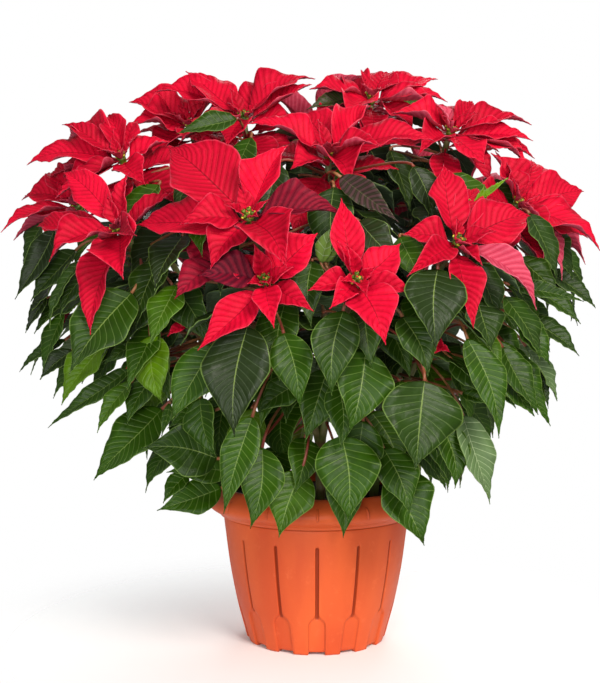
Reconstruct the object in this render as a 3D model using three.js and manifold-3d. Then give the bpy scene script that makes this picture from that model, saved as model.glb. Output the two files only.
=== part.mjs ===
// A potted poinsettia: a ribbed plastic pot, soil, five forked leafy stems and their blooms.
// Millimetres, +Z up. The pot's axis is X = Y = 0 while it is modelled, and -Y is the front.
import * as THREE from 'three';
import { mergeVertices } from 'three/addons/utils/BufferGeometryUtils.js';
import Module from 'manifold-3d';

const wasm = await Module();
wasm.setup();

// ---------- driving dimensions ----------

const GAP = 0.3; // clearance between pieces that touch
const TURN = Math.PI * 2;
const DEGREE = Math.PI / 180;

const SLOTS = 14; // slots, arches and feet round the pot
const POT_SIDES = SLOTS * 2;
const POT_FLOOR = 5.2;
const FOOT_HEIGHT = 2.5;
const FOOT_RING = 58; // inside radius of the ring of feet
const SLOT_WIDTH = 3.9;
const ARCH_WIDTH = 14;
const ARCH_SHOULDER = 11; // height over which an arch narrows to its top
const ARCH_TOP_SHARE = 0.3; // width of an arch's flat top as a share of the arch
const FOOT_GAP_WIDTH = ARCH_WIDTH - 1;
const FOOT_GAP_MIDDLE = FOOT_RING + 6;
const FOOT_GAP_DEPTH = 40;
const RECESS = 1.3; // depth of the slots and arches
const BEYOND = 12; // how far a cutter stands out past the wall
const WALL_FOOT = [67.2, 0]; // radius and height of the wall's outer face
const WALL_ARCH = [79, 38.2];
const WALL_SHOULDER = [91, 109.7];
const POT_OUTSIDE = [
  WALL_FOOT, WALL_ARCH, WALL_SHOULDER, [93.8, 124.6], [102.6, 129], [109.2, 134.6], [110.5, 139.6],
  [106.6, 147], [94, 155.7],
];
const POT_INSIDE = [
  [91.4, 155.4], [104, 145], [107.2, 138.6], [91, 126.6], [88.2, 109.7], [76.2, 38.2],
  [65.4, POT_FLOOR], [0, POT_FLOOR],
];

const POT_MOUTH = [80, 156.5]; // just inside the rim, level with its top

const SOIL_SIDES = 14;
const SOIL_TOP = 142;
const SOIL_MOUND = [[102, SOIL_TOP], [50, SOIL_TOP + 4], [0, SOIL_TOP + 5]];
const SOIL_SLACK = 1.2; // radius taken off the soil so that it clears the pot's wall

const TRUNK_RADIUS = 5.5;
const TRUNK_SIDES = 6;
const HOLE_RADIUS = TRUNK_RADIUS + 0.4; // of the hole in the soil that a trunk stands in
const BRANCH_RADIUS = 3.2;
const BRANCH_SIDES = 4;
const BRANCH_STEPS = 5;
const BRANCH_ROOM = BRANCH_RADIUS + 1; // radius kept free round a branch
const BRANCH_RISE = 26; // how much a branch rises first
const BRANCH_LOW = 0.35; // share of its length where it leaves that rise
const BRANCH_HIGH = 0.34; // share of its length that comes up behind the bloom
const TRUNK_FOOT = 22; // height of a trunk's buried end
const PETIOLE_RADIUS = 1.4;
const PETIOLE_STEPS = 2;
const STALK_HALF = 1.3; // half a blade's width where it leaves its stalk
const MIDRIB = 0.8; // half a blade's thickness at its midrib
const GUARD = 0.35; // free space kept on both sides of every blade
const POT_GUARD = 1.5;

const HUB_RADIUS = 4.4;
const HUB_HEIGHT = 7;
const HUB_SIDES = 6;
const HUB_TAPER = 0.8; // a hub's lower radius as a share of its upper one

// ---------- where the plants stand and how they fork ----------

const PLANTS = {
  front: { foot: [4, -34], fork: [4, -46, 196] },
  left: { foot: [-46, -6], fork: [-60, -14, 200] },
  right: { foot: [48, -8], fork: [62, -18, 198] },
  back_left: { foot: [-26, 40], fork: [-34, 52, 204] },
  back_right: { foot: [30, 38], fork: [38, 50, 202] },
};

// A bract is [clock, lift, length, width]: clock is its direction round the bloom, counter-clockwise
// from the right for someone who faces it, and lift is its angle above the bloom's flat plane.
const BLOOMS = [
  { name: 'centre', plant: 'front', hub: [-60, -190, 415], face: [-0.15, -0.8, 0.58], bracts: [
    [133, 5, 105, 70], [193, 20, 60, 36], [59, 12, 72, 48], [298, 14, 74, 62], [2, -12, 79, 48],
    [169, -6, 108, 54], [237, -6, 57, 40], [93, -14, 76, 44]] },
  { name: 'low_left', plant: 'front', hub: [-46, -205, 360], face: [-0.05, -0.9, 0.42], bracts: [
    [38, 15, 59, 50], [322, 18, 53, 24], [281, 15, 51, 30], [228, 5, 80, 38], [176, 4, 54, 38],
    [139, 8, 38, 30]] },
  { name: 'low_right', plant: 'front', hub: [31, -205, 361], face: [0.05, -0.92, 0.38], bracts: [
    [100, 5, 72, 40], [348, 10, 49, 24], [289, 10, 66, 50], [196, 14, 42, 30], [121, 25, 36, 15],
    [43, 5, 51, 34], [241, 12, 41, 26]] },
  { name: 'right', plant: 'right', hub: [121, -165, 394], face: [0.3, -0.8, 0.52], bracts: [
    [99, 5, 77, 46], [30, 10, 82, 52], [323, -4, 88, 34], [276, 5, 84, 38], [223, 1, 69, 36],
    [184, 10, 51, 34], [60, -6, 84, 40], [297, 32, 36, 20]] },
  { name: 'left', plant: 'left', hub: [-180, -125, 408], face: [-0.45, -0.65, 0.6], bracts: [
    [125, 15, 96, 50], [153, 5, 112, 44], [202, 10, 68, 48], [253, -5, 104, 46], [285, 6, 84, 62],
    [77, 26, 56, 22], [322, 8, 70, 40], [24, 6, 58, 38]] },
  { name: 'crown', plant: 'front', hub: [10, -100, 478], face: [0, -0.6, 0.8], bracts: [
    [168, 15, 79, 42], [11, 7, 102, 38], [289, 0, 55, 60], [224, 14, 48, 40], [60, 6, 84, 48],
    [110, 8, 80, 46], [330, 10, 58, 38]] },
  { name: 'upper_left', plant: 'left', hub: [-192, -30, 483], face: [-0.25, -0.6, 0.76], bracts: [
    [171, 2, 100, 38], [136, 4, 94, 42], [104, 18, 60, 36], [20, 4, 50, 40], [229, -4, 64, 42],
    [203, -2, 74, 42], [74, 8, 52, 28], [300, 0, 54, 40]] },
  { name: 'crown_left', plant: 'back_left', hub: [-73, 10, 529], face: [-0.05, -0.55, 0.83], bracts: [
    [134, 14, 92, 46], [155, 12, 106, 44], [30, 11, 86, 56], [350, 2, 54, 42], [256, -4, 62, 40],
    [188, 2, 70, 46], [62, 0, 68, 46], [96, 10, 58, 38], [222, 8, 64, 34]] },
  { name: 'crown_right', plant: 'back_right', hub: [59, 50, 555], face: [0.05, -0.5, 0.86], bracts: [
    [186, 6, 66, 54], [27, 14, 81, 44], [350, 2, 78, 42], [210, -2, 72, 30], [250, 0, 76, 48],
    [303, 0, 60, 46], [60, 2, 56, 44], [122, 6, 56, 46]] },
  { name: 'upper_right', plant: 'right', hub: [133, -20, 510], face: [0.2, -0.6, 0.77], bracts: [
    [12, 8, 84, 42], [344, -4, 87, 38], [180, 6, 62, 46], [234, 4, 60, 44], [297, 0, 60, 44],
    [112, 10, 48, 34], [62, 14, 52, 26], [358, 12, 82, 36]] },
  { name: 'far_right', plant: 'right', hub: [195, -45, 437], face: [0.45, -0.62, 0.64], bracts: [
    [124, 14, 56, 54], [30, 16, 90, 46], [330, 8, 90, 50], [312, -8, 84, 30], [284, 4, 60, 34],
    [200, 8, 62, 36], [72, 2, 80, 42]] },
  { name: 'left_back', plant: 'back_left', hub: [-133, 64, 528], face: [-0.15, -0.6, 0.78], bracts: [
    [195, 14, 66, 62], [232, 2, 62, 46], [290, 0, 56, 46], [350, 4, 60, 46], [52, 12, 56, 46],
    [134, 12, 72, 56]] },
  { name: 'far_left', plant: 'left', hub: [-243, 10, 440], face: [-0.5, -0.5, 0.7], bracts: [
    [214, 20, 82, 36], [190, 10, 76, 34], [150, 12, 78, 42], [250, 4, 62, 36], [116, 12, 66, 42],
    [70, 8, 56, 38], [30, 10, 58, 36]] },
  { name: 'side_left', plant: 'left', hub: [-236, 34, 352], face: [-0.8, -0.3, 0.5], bracts: [
    [252, 8, 62, 32], [150, 12, 46, 26], [32, 8, 46, 26]] },
  { name: 'back_crown', plant: 'back_right', hub: [4, 128, 535], face: [0, 0.35, 0.94], bracts: null },
  { name: 'back_left', plant: 'back_left', hub: [-152, 152, 452], face: [-0.5, 0.6, 0.62], bracts: null },
  { name: 'back_centre', plant: 'back_left', hub: [-20, 205, 440], face: [0, 0.76, 0.65], bracts: null },
  { name: 'back_right', plant: 'back_right', hub: [132, 160, 462], face: [0.5, 0.6, 0.62], bracts: null },
  { name: 'side_right', plant: 'back_right', hub: [214, 72, 430], face: [0.8, 0.3, 0.52], bracts: null },
  { name: 'low_back_left', plant: 'back_left', hub: [-88, 215, 350], face: [-0.3, 0.86, 0.4], bracts: null },
  { name: 'low_back_right', plant: 'back_right', hub: [84, 215, 352], face: [0.3, 0.86, 0.4], bracts: null },
];

// Leaves that hang in front: [place of the leaf's base, place of its tip, width].
const FRONT_LEAVES = [
  [[90, -190, 275], [80, -212, 202], 68], [[20, -165, 225], [25, -182, 152], 58],
  [[-60, -212, 322], [-70, -228, 232], 58], [[40, -185, 300], [25, -200, 232], 52],
  [[100, -195, 370], [95, -225, 302], 54], [[-25, -220, 345], [10, -240, 300], 40],
  [[20, -205, 335], [10, -218, 265], 42], [[70, -200, 330], [90, -214, 280], 38],
  [[130, -165, 310], [155, -182, 225], 34], [[141, -150, 344], [150, -168, 298], 42],
  [[-165, -152, 350], [-222, -176, 285], 60], [[-90, -190, 305], [-125, -202, 242], 40],
  [[70, -130, 190], [95, -146, 124], 54], [[58, -150, 212], [80, -168, 155], 40],
  [[-15, -140, 190], [-35, -154, 133], 44], [[-50, -146, 212], [-60, -164, 143], 42],
  [[-58, -170, 242], [-82, -184, 160], 34], [[40, -146, 236], [48, -156, 172], 44],
  [[130, -140, 240], [152, -156, 163], 40], [[108, -150, 236], [120, -162, 178], 36],
  [[-145, -100, 242], [-206, -116, 178], 50], [[-92, -128, 200], [-158, -146, 212], 52],
  [[-90, -100, 168], [-148, -116, 150], 34], [[-150, -140, 312], [-138, -152, 252], 34],
  [[-200, -70, 305], [-242, -82, 244], 42], [[-175, -92, 280], [-252, -96, 224], 32],
  [[-172, -112, 268], [-202, -118, 222], 26], [[205, -62, 325], [250, -72, 290], 30],
  [[212, -42, 355], [256, -52, 320], 28], [[230, -20, 372], [277, -26, 335], 28],
  [[190, -92, 328], [217, -98, 282], 32], [[180, -72, 300], [221, -82, 224], 36],
  [[205, -40, 298], [236, -42, 244], 34], [[170, -112, 300], [201, -122, 239], 32],
  [[-258, -22, 412], [-296, -28, 350], 34], [[-246, -10, 382], [-291, -16, 310], 36],
  [[-240, 10, 330], [-300, 6, 272], 34], [[-218, 34, 318], [-286, 26, 260], 36],
  [[20, -150, 452], [68, -186, 410], 34], [[35, -172, 412], [72, -194, 378], 32],
  [[-92, -180, 376], [-122, -200, 345], 34], [[-30, -196, 316], [-16, -206, 254], 38],
  [[-18, -152, 270], [-54, -164, 245], 30], [[8, -150, 282], [-12, -164, 220], 40],
  [[-106, -140, 256], [-90, -152, 204], 36], [[-120, -150, 400], [-140, -190, 352], 40],
  [[-232, -60, 391], [-274, -66, 342], 34], [[-218, -110, 379], [-245, -116, 316], 20],
  [[-130, -140, 357], [-94, -158, 304], 38], [[-143, -125, 310], [-132, -132, 250], 24],
  [[-94, -120, 243], [-136, -134, 228], 26], [[167, -104, 305], [212, -112, 270], 26],
  [[171, -110, 277], [200, -118, 238], 30], [[195, -60, 384], [232, -70, 345], 34],
  [[215, -30, 420], [252, -36, 362], 40], [[225, -6, 410], [268, -10, 325], 26],
  [[121, -130, 290], [154, -146, 256], 34], [[-31, -60, 249], [-16, -80, 180], 52],
  [[-85, -70, 256], [-90, -88, 190], 46], [[51, -90, 238], [77, -104, 182], 48],
  [[-227, 0, 351], [-272, -6, 296], 42], [[-182, -60, 315], [-230, -70, 268], 38],
  [[149, -50, 314], [198, -56, 246], 44], [[-84, -96, 183], [-138, -110, 168], 30],
  [[182, -80, 358], [251, -84, 342], 18], [[-131, -70, 343], [-146, -84, 280], 42],
  [[-214, -30, 294], [-260, -34, 246], 34], [[-277, 20, 430], [-304, 16, 380], 30],
  [[112, -96, 220], [122, -104, 172], 36],
];

// Leaves all round the back and sides: rows of [height, radius of the bases, leaves, first azimuth].
const SKIRT_ROWS = [
  [448, 206, 5, 18], [405, 232, 6, 12], [356, 214, 7, 14], [308, 190, 6, 12], [262, 160, 6, 14],
  [216, 128, 4, 16],
];
const SKIRT_ARC = 156; // degrees of the circle that the rows run over
const SKIRT_DROP = 78;
const SKIRT_REACH = 34;

// Leaves based before this Y turn their faces to the front, by this share of a full turn outwards.
const FRONT_HALF = 30;
const FRONT_TURN = 0.9;

// ---------- chance, small vectors ----------

// A fraction from 0 to 1 that is always the same for the same two numbers.
function chance(first, second) {
  const scattered = Math.sin(first * 12.9898 + second * 78.233) * 43758.5453;
  return scattered - Math.floor(scattered);
}

// A number in a range, drawn by the same two numbers.
function drawn([low, high], first, second) {
  return low + (high - low) * chance(first, second);
}

const vector = (place) => new THREE.Vector3(...place);
const UP = vector([0, 0, 1]);
const TO_FRONT = vector([0, -1, 0]);

function squareTo(hint, along) {
  return hint.clone().addScaledVector(along, -hint.dot(along)).normalize();
}

// The bloom's own directions: its face, and clock 0 and clock 90 in its flat plane.
function bloomAxes(face) {
  const front = vector(face).normalize();
  const right = squareTo(vector([1, 0, 0]), front);
  const up = front.clone().cross(right);
  return { front, right, up };
}

// ---------- solids ----------

function toSolid(geometry) {
  const bare = new THREE.BufferGeometry();
  bare.setAttribute('position', geometry.getAttribute('position'));
  bare.setIndex(geometry.getIndex());
  const merged = mergeVertices(bare, 1e-4);
  const places = merged.getAttribute('position').array;
  const index = merged.getIndex().array;
  const corners = [];
  for (let i = 0; i < index.length; i += 3) {
    const [a, b, c] = [index[i], index[i + 1], index[i + 2]];
    if (a !== b && b !== c && c !== a) corners.push(a, b, c);
  }
  if (signedVolume(places, corners) < 0) corners.reverse();
  return new wasm.Manifold(new wasm.Mesh({
    numProp: 3,
    vertProperties: new Float32Array(places),
    triVerts: new Uint32Array(corners),
  }));
}

function signedVolume(places, corners) {
  const corner = (i) => vector(places.slice(3 * corners[i], 3 * corners[i] + 3));
  let sum = 0;
  for (let i = 0; i < corners.length; i += 3) sum += corner(i).dot(corner(i + 1).cross(corner(i + 2)));
  return sum / 6;
}

function fuse(solids) {
  return solids.reduce((whole, piece) => whole.add(piece));
}

function addMesh(group, name, solid, material) {
  const { vertProperties, triVerts } = solid.getMesh();
  const geometry = new THREE.BufferGeometry();
  geometry.setAttribute('position', new THREE.BufferAttribute(new Float32Array(vertProperties), 3));
  geometry.setIndex(new THREE.BufferAttribute(new Uint32Array(triVerts), 1));
  const mesh = new THREE.Mesh(geometry, material);
  mesh.name = name;
  group.add(mesh);
}

function lathe(profile, sides) {
  const points = profile.map(([radius, height]) => new THREE.Vector2(radius, height));
  const geometry = new THREE.LatheGeometry(points, sides, TURN / sides / 2);
  return geometry.rotateX(Math.PI / 2);
}

// A tube along a curve, with a flat end at each side.
function tube(curve, radius, sides, steps) {
  const outline = new THREE.Shape();
  for (let i = 0; i < sides; i += 1) {
    const angle = (TURN * i) / sides;
    const [x, y] = [radius * Math.cos(angle), radius * Math.sin(angle)];
    if (i === 0) outline.moveTo(x, y);
    else outline.lineTo(x, y);
  }
  outline.closePath();
  return new THREE.ExtrudeGeometry(outline, { steps, extrudePath: curve, bevelEnabled: false });
}

// ---------- pot and soil ----------

// Extrudes an outline of [across, height] points and sets it into the wall between two
// [radius, height] places of its outer face, at one of the slots.
function wallCutter(outline, lower, upper, slot) {
  const shape = new THREE.Shape(outline.map(([x, y]) => new THREE.Vector2(x, y)));
  const cutter = new THREE.ExtrudeGeometry(shape, { depth: BEYOND, bevelEnabled: false });
  const lean = Math.atan2(upper[0] - lower[0], upper[1] - lower[1]);
  cutter.rotateX(Math.PI / 2 + lean);
  cutter.translate(0, -lower[0] + RECESS, lower[1]);
  return cutter.rotateZ((TURN * slot) / SLOTS);
}

function slotOutline(width, length) {
  const half = width / 2;
  return [[-half, 0], [half, 0], [half, length - half], [0, length], [-half, length - half]];
}

function archOutline(width, length) {
  const half = width / 2;
  const top = half * ARCH_TOP_SHARE;
  const shoulder = length - ARCH_SHOULDER;
  return [
    [-half, -BEYOND], [half, -BEYOND], [half, shoulder], [top, length], [-top, length], [-half, shoulder],
  ];
}

function footGap(slot) {
  const gap = new THREE.BoxGeometry(FOOT_GAP_WIDTH, FOOT_GAP_DEPTH, FOOT_HEIGHT * 2);
  gap.translate(0, -FOOT_GAP_MIDDLE, 0);
  return gap.rotateZ((TURN * slot) / SLOTS);
}

function makePot() {
  const profile = [[0, FOOT_HEIGHT], [FOOT_RING, FOOT_HEIGHT], [FOOT_RING, 0], ...POT_OUTSIDE, ...POT_INSIDE];
  let pot = toSolid(lathe(profile, POT_SIDES));
  const slotLength = WALL_SHOULDER[1] - WALL_ARCH[1];
  const archLength = WALL_ARCH[1] - WALL_FOOT[1];
  for (let slot = 0; slot < SLOTS; slot += 1) {
    const line = wallCutter(slotOutline(SLOT_WIDTH, slotLength), WALL_ARCH, WALL_SHOULDER, slot);
    const recess = wallCutter(archOutline(ARCH_WIDTH, archLength + 1), WALL_FOOT, WALL_ARCH, slot);
    pot = pot.subtract(toSolid(line)).subtract(toSolid(recess)).subtract(toSolid(footGap(slot)));
  }
  return pot;
}

function makeSoil(trunks) {
  const inside = POT_INSIDE.filter(([radius, height]) => radius > 0 && height < SOIL_TOP).reverse();
  const wall = inside.map(([radius, height]) => [radius - SOIL_SLACK, height + GAP]);
  const profile = [[0, POT_FLOOR + GAP], ...wall, ...SOIL_MOUND];
  let soil = toSolid(lathe(profile, SOIL_SIDES));
  trunks.forEach((trunk) => {
    const end = trunk.curve.getPoint(0).addScaledVector(trunk.curve.getTangent(0), -GAP);
    const hole = tube(new THREE.LineCurve3(end, trunk.curve.v2), HOLE_RADIUS, TRUNK_SIDES, 1);
    soil = soil.subtract(toSolid(hole));
  });
  return soil;
}

// ---------- free space between the blades and stems ----------

// Everything that takes up room is kept as triangles and edges, and nothing new may cross them.
const taken = [];

function roomOf(triangles, owner) {
  const box = new THREE.Box3();
  triangles.forEach((corners) => corners.forEach((corner) => box.expandByPoint(corner)));
  const edges = [];
  triangles.forEach(([a, b, c]) => edges.push([a, b], [b, c], [c, a]));
  return { owner, box, triangles, edges, outer: null };
}

function crosses([from, to], [a, b, c]) {
  const along = to.clone().sub(from);
  const first = b.clone().sub(a);
  const second = c.clone().sub(a);
  const across = along.clone().cross(second);
  const slope = first.dot(across);
  if (Math.abs(slope) < 1e-9) return false;
  const offset = from.clone().sub(a);
  const u = offset.dot(across) / slope;
  if (u < 0 || u > 1) return false;
  const turned = offset.cross(first);
  const v = along.dot(turned) / slope;
  if (v < 0 || u + v > 1) return false;
  const reach = second.dot(turned) / slope;
  return reach >= 0 && reach <= 1;
}

function meet(one, other) {
  if (!one.box.intersectsBox(other.box)) return false;
  const shared = one.box.clone().intersect(other.box);
  const near = (points) => shared.intersectsBox(new THREE.Box3().setFromPoints(points));
  const [oneEdges, oneTriangles] = [one.edges.filter(near), one.triangles.filter(near)];
  const [otherEdges, otherTriangles] = [other.edges.filter(near), other.triangles.filter(near)];
  return oneEdges.some((edge) => otherTriangles.some((triangle) => crosses(edge, triangle)))
    || otherEdges.some((edge) => oneTriangles.some((triangle) => crosses(edge, triangle)));
}

// Blades of one owner meet at their roots, so only their outer parts keep clear of each other.
function isFree(room) {
  return !taken.some((other) => (other.owner === room.owner
    ? room.outer && other.outer && meet(room.outer, other.outer)
    : meet(room, other)));
}

function trianglesOf(geometry) {
  const places = (geometry.getIndex() ? geometry.toNonIndexed() : geometry).getAttribute('position');
  const corner = (i) => new THREE.Vector3().fromBufferAttribute(places, i);
  const triangle = (_, i) => [corner(3 * i), corner(3 * i + 1), corner(3 * i + 2)];
  return Array.from({ length: places.count / 3 }, triangle);
}

// The room of a rod, as a three-sided tube along its curve.
function rodRoom(curve, radius, steps, owner) {
  return roomOf(trianglesOf(tube(curve, radius + GUARD, 3, steps)), owner);
}

// ---------- stems ----------

function makeTrunks() {
  return Object.entries(PLANTS).map(([name, { foot, fork }]) => {
    const curve = new THREE.LineCurve3(vector([...foot, TRUNK_FOOT]), vector(fork));
    return { name, curve };
  });
}

// A branch leaves its trunk's fork and comes up behind its bloom, in line with the bloom's face.
function branchCurve(bloom) {
  const fork = vector(PLANTS[bloom.plant].fork);
  const { front } = bloomAxes(bloom.face);
  const end = vector(bloom.hub).addScaledVector(front, -HUB_HEIGHT - GAP);
  const low = fork.clone().lerp(end, BRANCH_LOW).addScaledVector(UP, BRANCH_RISE);
  const high = end.clone().addScaledVector(front, -BRANCH_HIGH * fork.distanceTo(end));
  return new THREE.CubicBezierCurve3(fork, low, high, end);
}

// ---------- blades ----------

// How sharply a blade narrows to its root and to its tip.
const ROOT_POWER = 0.75;
const TIP_POWER = 1.15;

// A blade's half width and the height of its middle, at a share t of its length.
function outlineAt(t, blade) {
  const past = Math.max(t - blade.neck, 0) / (1 - blade.neck);
  const rise = Math.sin(Math.PI * past ** blade.fullness);
  const widest = 0.5 ** (1 / blade.fullness);
  const shape = Math.max(rise, 0) ** (past < widest ? ROOT_POWER : TIP_POWER);
  return Math.max(shape * blade.width * 0.5, past < 0.5 ? STALK_HALF : 0);
}

// A blade's arch is an even bow and one that is highest towards the tip.
const EVEN_BOW = 2;
const LATE_BOW = 3.4;

function archAt(t, blade) {
  return blade.arch * blade.length * (EVEN_BOW + LATE_BOW * t) * t * (1 - t);
}

const RIPPLE_LAG = 0.9; // radians by which the waves of each edge are shifted from the midrib's

function rippleAt(t, side, blade) {
  const swing = Math.sin(TURN * (blade.waves * t + blade.phase) + side * RIPPLE_LAG);
  return blade.ripple * swing * Math.sin(Math.PI * t);
}

// Rows of [left edge, midrib, right edge] from the base to the tip, with the face's own direction.
function bladeRows(blade, shares) {
  const run = blade.tip.clone().sub(blade.base);
  const along = run.clone().normalize();
  const normal = squareTo(blade.facing, along);
  const side = along.clone().cross(normal);
  return shares.map((t) => {
    const middle = blade.base.clone().addScaledVector(run, t).addScaledVector(normal, archAt(t, blade));
    const half = outlineAt(t, blade);
    const edge = (sign) => middle.clone()
      .addScaledVector(side, sign * half * Math.cos(blade.fold))
      .addScaledVector(normal, half * Math.sin(blade.fold) + half * rippleAt(t, sign, blade));
    return { edges: [edge(-1), edge(1)], middle, normal };
  });
}

// How far along the part past its neck a blade has its rows.
const BIG_ROWS = [0, 0.16, 0.4, 0.7, 1];
const SMALL_ROWS = [0, 0.24, 0.62, 1];
const BIG_BLADE = 4600; // length times width

function sharesOf(blade) {
  const rows = blade.length * blade.width > BIG_BLADE ? BIG_ROWS : SMALL_ROWS;
  const past = rows.map((share) => blade.neck + share * (1 - blade.neck));
  return blade.neck > 0 ? [0, ...past] : past;
}

// The four points of a row: left edge, top of the midrib, right edge, underside of the midrib.
function section({ edges, middle, normal }) {
  return [
    edges[0], middle.clone().addScaledVector(normal, MIDRIB),
    edges[1], middle.clone().addScaledVector(normal, -MIDRIB),
  ];
}

// A solid through sections of four points each, closed at a flat root and at a pointed tip.
// The faces above and below a blade are split alike, so that they can't cross.
function loft(sections, tip) {
  const points = [...sections.flat(), tip];
  const corners = [0, 1, 2, 0, 2, 3];
  for (let i = 0; i < sections.length - 1; i += 1) {
    const [here, next] = [i * 4, i * 4 + 4];
    corners.push(here, next, here + 1, here + 1, next, next + 1);
    corners.push(here + 1, next + 1, next + 2, here + 1, next + 2, here + 2);
    corners.push(here + 2, next + 2, here + 3, here + 3, next + 2, next + 3);
    corners.push(here + 3, next + 3, next, here + 3, next, here);
  }
  const end = (sections.length - 1) * 4;
  for (let k = 0; k < 4; k += 1) corners.push(end + k, sections.length * 4, end + ((k + 1) % 4));
  const geometry = new THREE.BufferGeometry().setFromPoints(points);
  geometry.setIndex(corners);
  return toSolid(geometry);
}

function bladeSolid(blade, stalk = []) {
  const rows = bladeRows(blade, sharesOf(blade));
  const { middle } = rows.pop();
  return loft([...stalk, ...rows.map(section)], middle);
}

// Both halves of every span of a blade, with the whole blade moved along its facing direction.
function bladeLayer(rows, shift) {
  return rows.slice(1).map((next, i) => [0, 1].flatMap((side) => {
    const edge = (row) => row.edges[side].clone().addScaledVector(row.normal, Math.sign(shift) * GUARD);
    const rib = (row) => row.middle.clone().addScaledVector(row.normal, shift);
    return [[edge(rows[i]), rib(rows[i]), edge(next)], [rib(rows[i]), rib(next), edge(next)]];
  }));
}

// The blade's room: its two faces moved apart. The outer part is only its middle surface.
function bladeRoom(blade, owner) {
  const rows = bladeRows(blade, sharesOf(blade));
  const faces = [MIDRIB + GUARD, -MIDRIB - GUARD].flatMap((shift) => bladeLayer(rows, shift));
  const room = roomOf(faces.flat(), owner);
  room.outer = roomOf(bladeLayer(rows, 0).slice(1).flat(), owner);
  return room;
}

// ---------- blooms ----------

const WHORL_BRACTS = 5;
const TIER = 1.6; // every second bract stands this much higher or lower on the hub
const TIER_LIFT = 3;
const BRACT_ROOT = 1.6; // from the bloom's middle to where a bract begins
const NECK = 0.13; // share of a bract that is its narrow stalk
// Ranges that are drawn from, with angles in degrees.
const WHORL_LENGTH = [76, 96];
const WHORL_WIDTH = 0.55; // as a share of the length
const WHORL_SHIFT = [0, 0.3]; // as a share of the step from one bract to the next
const WHORL_LIFT = [2, 14];
const BRACT = {
  turn: [-0.2, 0.2], arch: [0.05, 0.15], fold: [12, 36], ripple: [0.1, 0.22], waves: 1.6, fullness: 0.8,
};

// The bracts of a bloom that has no list of its own: one whorl, evenly spread.
function whorl(seed) {
  return Array.from({ length: WHORL_BRACTS }, (_, k) => {
    const length = drawn(WHORL_LENGTH, seed, k);
    const clock = (360 / WHORL_BRACTS) * (k + drawn(WHORL_SHIFT, seed, k + 20));
    return [clock, drawn(WHORL_LIFT, seed, k + 40), length, length * WHORL_WIDTH];
  });
}

function bractBlade(bloom, number, [clock, lift, length, width], seed, change) {
  const { front, right, up } = bloomAxes(bloom.face);
  const around = (clock + change.clock) * DEGREE;
  const tier = number % 2 === 0 ? 1 : -1;
  const above = (lift + TIER_LIFT * tier + change.lift) * DEGREE;
  const flat = right.clone().multiplyScalar(Math.cos(around)).addScaledVector(up, Math.sin(around));
  const along = flat.clone().multiplyScalar(Math.cos(above)).addScaledVector(front, Math.sin(above));
  const level = TIER * tier - HUB_HEIGHT / 2;
  const base = vector(bloom.hub).addScaledVector(front, level).addScaledVector(flat, BRACT_ROOT);
  return {
    base,
    tip: base.clone().addScaledVector(along, length * change.size),
    length: length * change.size,
    width: width * change.size,
    facing: front.clone().addScaledVector(flat, drawn(BRACT.turn, seed, number + 5)),
    neck: NECK,
    fullness: BRACT.fullness,
    arch: drawn(BRACT.arch, seed, number + 15),
    fold: drawn(BRACT.fold, seed, number + 25) * DEGREE,
    waves: BRACT.waves,
    phase: chance(seed, number + 35),
    ripple: drawn(BRACT.ripple, seed, number + 45),
  };
}

// Small changes of direction, tried in this order until a bract or leaf is clear of the others.
const CHANGES = [[0, 0], [5, 0], [-5, 0], [0, 6], [0, -6], [8, 6], [-8, 6], [8, -6], [-8, -6],
  [0, 13], [0, -13], [14, 0], [-14, 0], [13, 12], [-13, 12], [13, -12], [-13, -12], [0, 20], [20, 0],
  [-20, 0], [0, -20]];
const SIZES = [1, 0.86, 0.72];

function changesOf() {
  return SIZES.flatMap((size) => CHANGES.map(([clock, lift]) => ({ clock, lift, size })));
}

function makeBloom(bloom, seed) {
  const { front } = bloomAxes(bloom.face);
  const hub = vector(bloom.hub);
  const turn = new THREE.Quaternion().setFromUnitVectors(vector([0, 1, 0]), front);
  const receptacle = new THREE.CylinderGeometry(HUB_RADIUS, HUB_RADIUS * HUB_TAPER, HUB_HEIGHT, HUB_SIDES);
  receptacle.applyQuaternion(turn);
  const middle = hub.clone().addScaledVector(front, -HUB_HEIGHT / 2);
  receptacle.translate(...middle.toArray());
  const solids = [toSolid(receptacle)];
  const bracts = bloom.bracts ?? whorl(seed);
  bracts.forEach((bract, number) => {
    const found = changesOf().map((change) => bractBlade(bloom, number, bract, seed, change))
      .find((blade) => isFree(bladeRoom(blade, `bracts_${bloom.name}`)));
    if (!found) return;
    taken.push(bladeRoom(found, `bracts_${bloom.name}`));
    solids.push(bladeSolid(found));
  });
  return fuse(solids);
}

// The true flowers: a knot of buds in the middle of the bloom, sunk into one another.
const BUDS = 1;
const BUD_RADIUS = 2.6;
const BUD_HEIGHT = 4.2; // half the length of a bud
const BUD_SPREAD = 2.6; // from the bloom's middle to an outer bud
const BUD_STEP = 0.5; // how much higher an outer bud stands
const BUD_SHIFT = [0, 0.2]; // turns by which an outer bud stands further round

function makeCyathia(bloom, seed) {
  const { front, right, up } = bloomAxes(bloom.face);
  const turn = new THREE.Quaternion().setFromUnitVectors(vector([0, 1, 0]), front);
  const solids = [];
  for (let bud = 0; bud <= BUDS; bud += 1) {
    const angle = TURN * (bud / BUDS + drawn(BUD_SHIFT, seed, bud));
    const outer = bud < BUDS ? 1 : 0;
    const out = outer * BUD_SPREAD;
    const bead = new THREE.OctahedronGeometry(BUD_RADIUS);
    bead.scale(1, BUD_HEIGHT / BUD_RADIUS, 1);
    bead.applyQuaternion(turn);
    const place = vector(bloom.hub).addScaledVector(front, GAP + BUD_HEIGHT + outer * BUD_STEP)
      .addScaledVector(right, out * Math.cos(angle)).addScaledVector(up, out * Math.sin(angle));
    bead.translate(...place.toArray());
    solids.push(toSolid(bead));
  }
  return fuse(solids);
}

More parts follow.
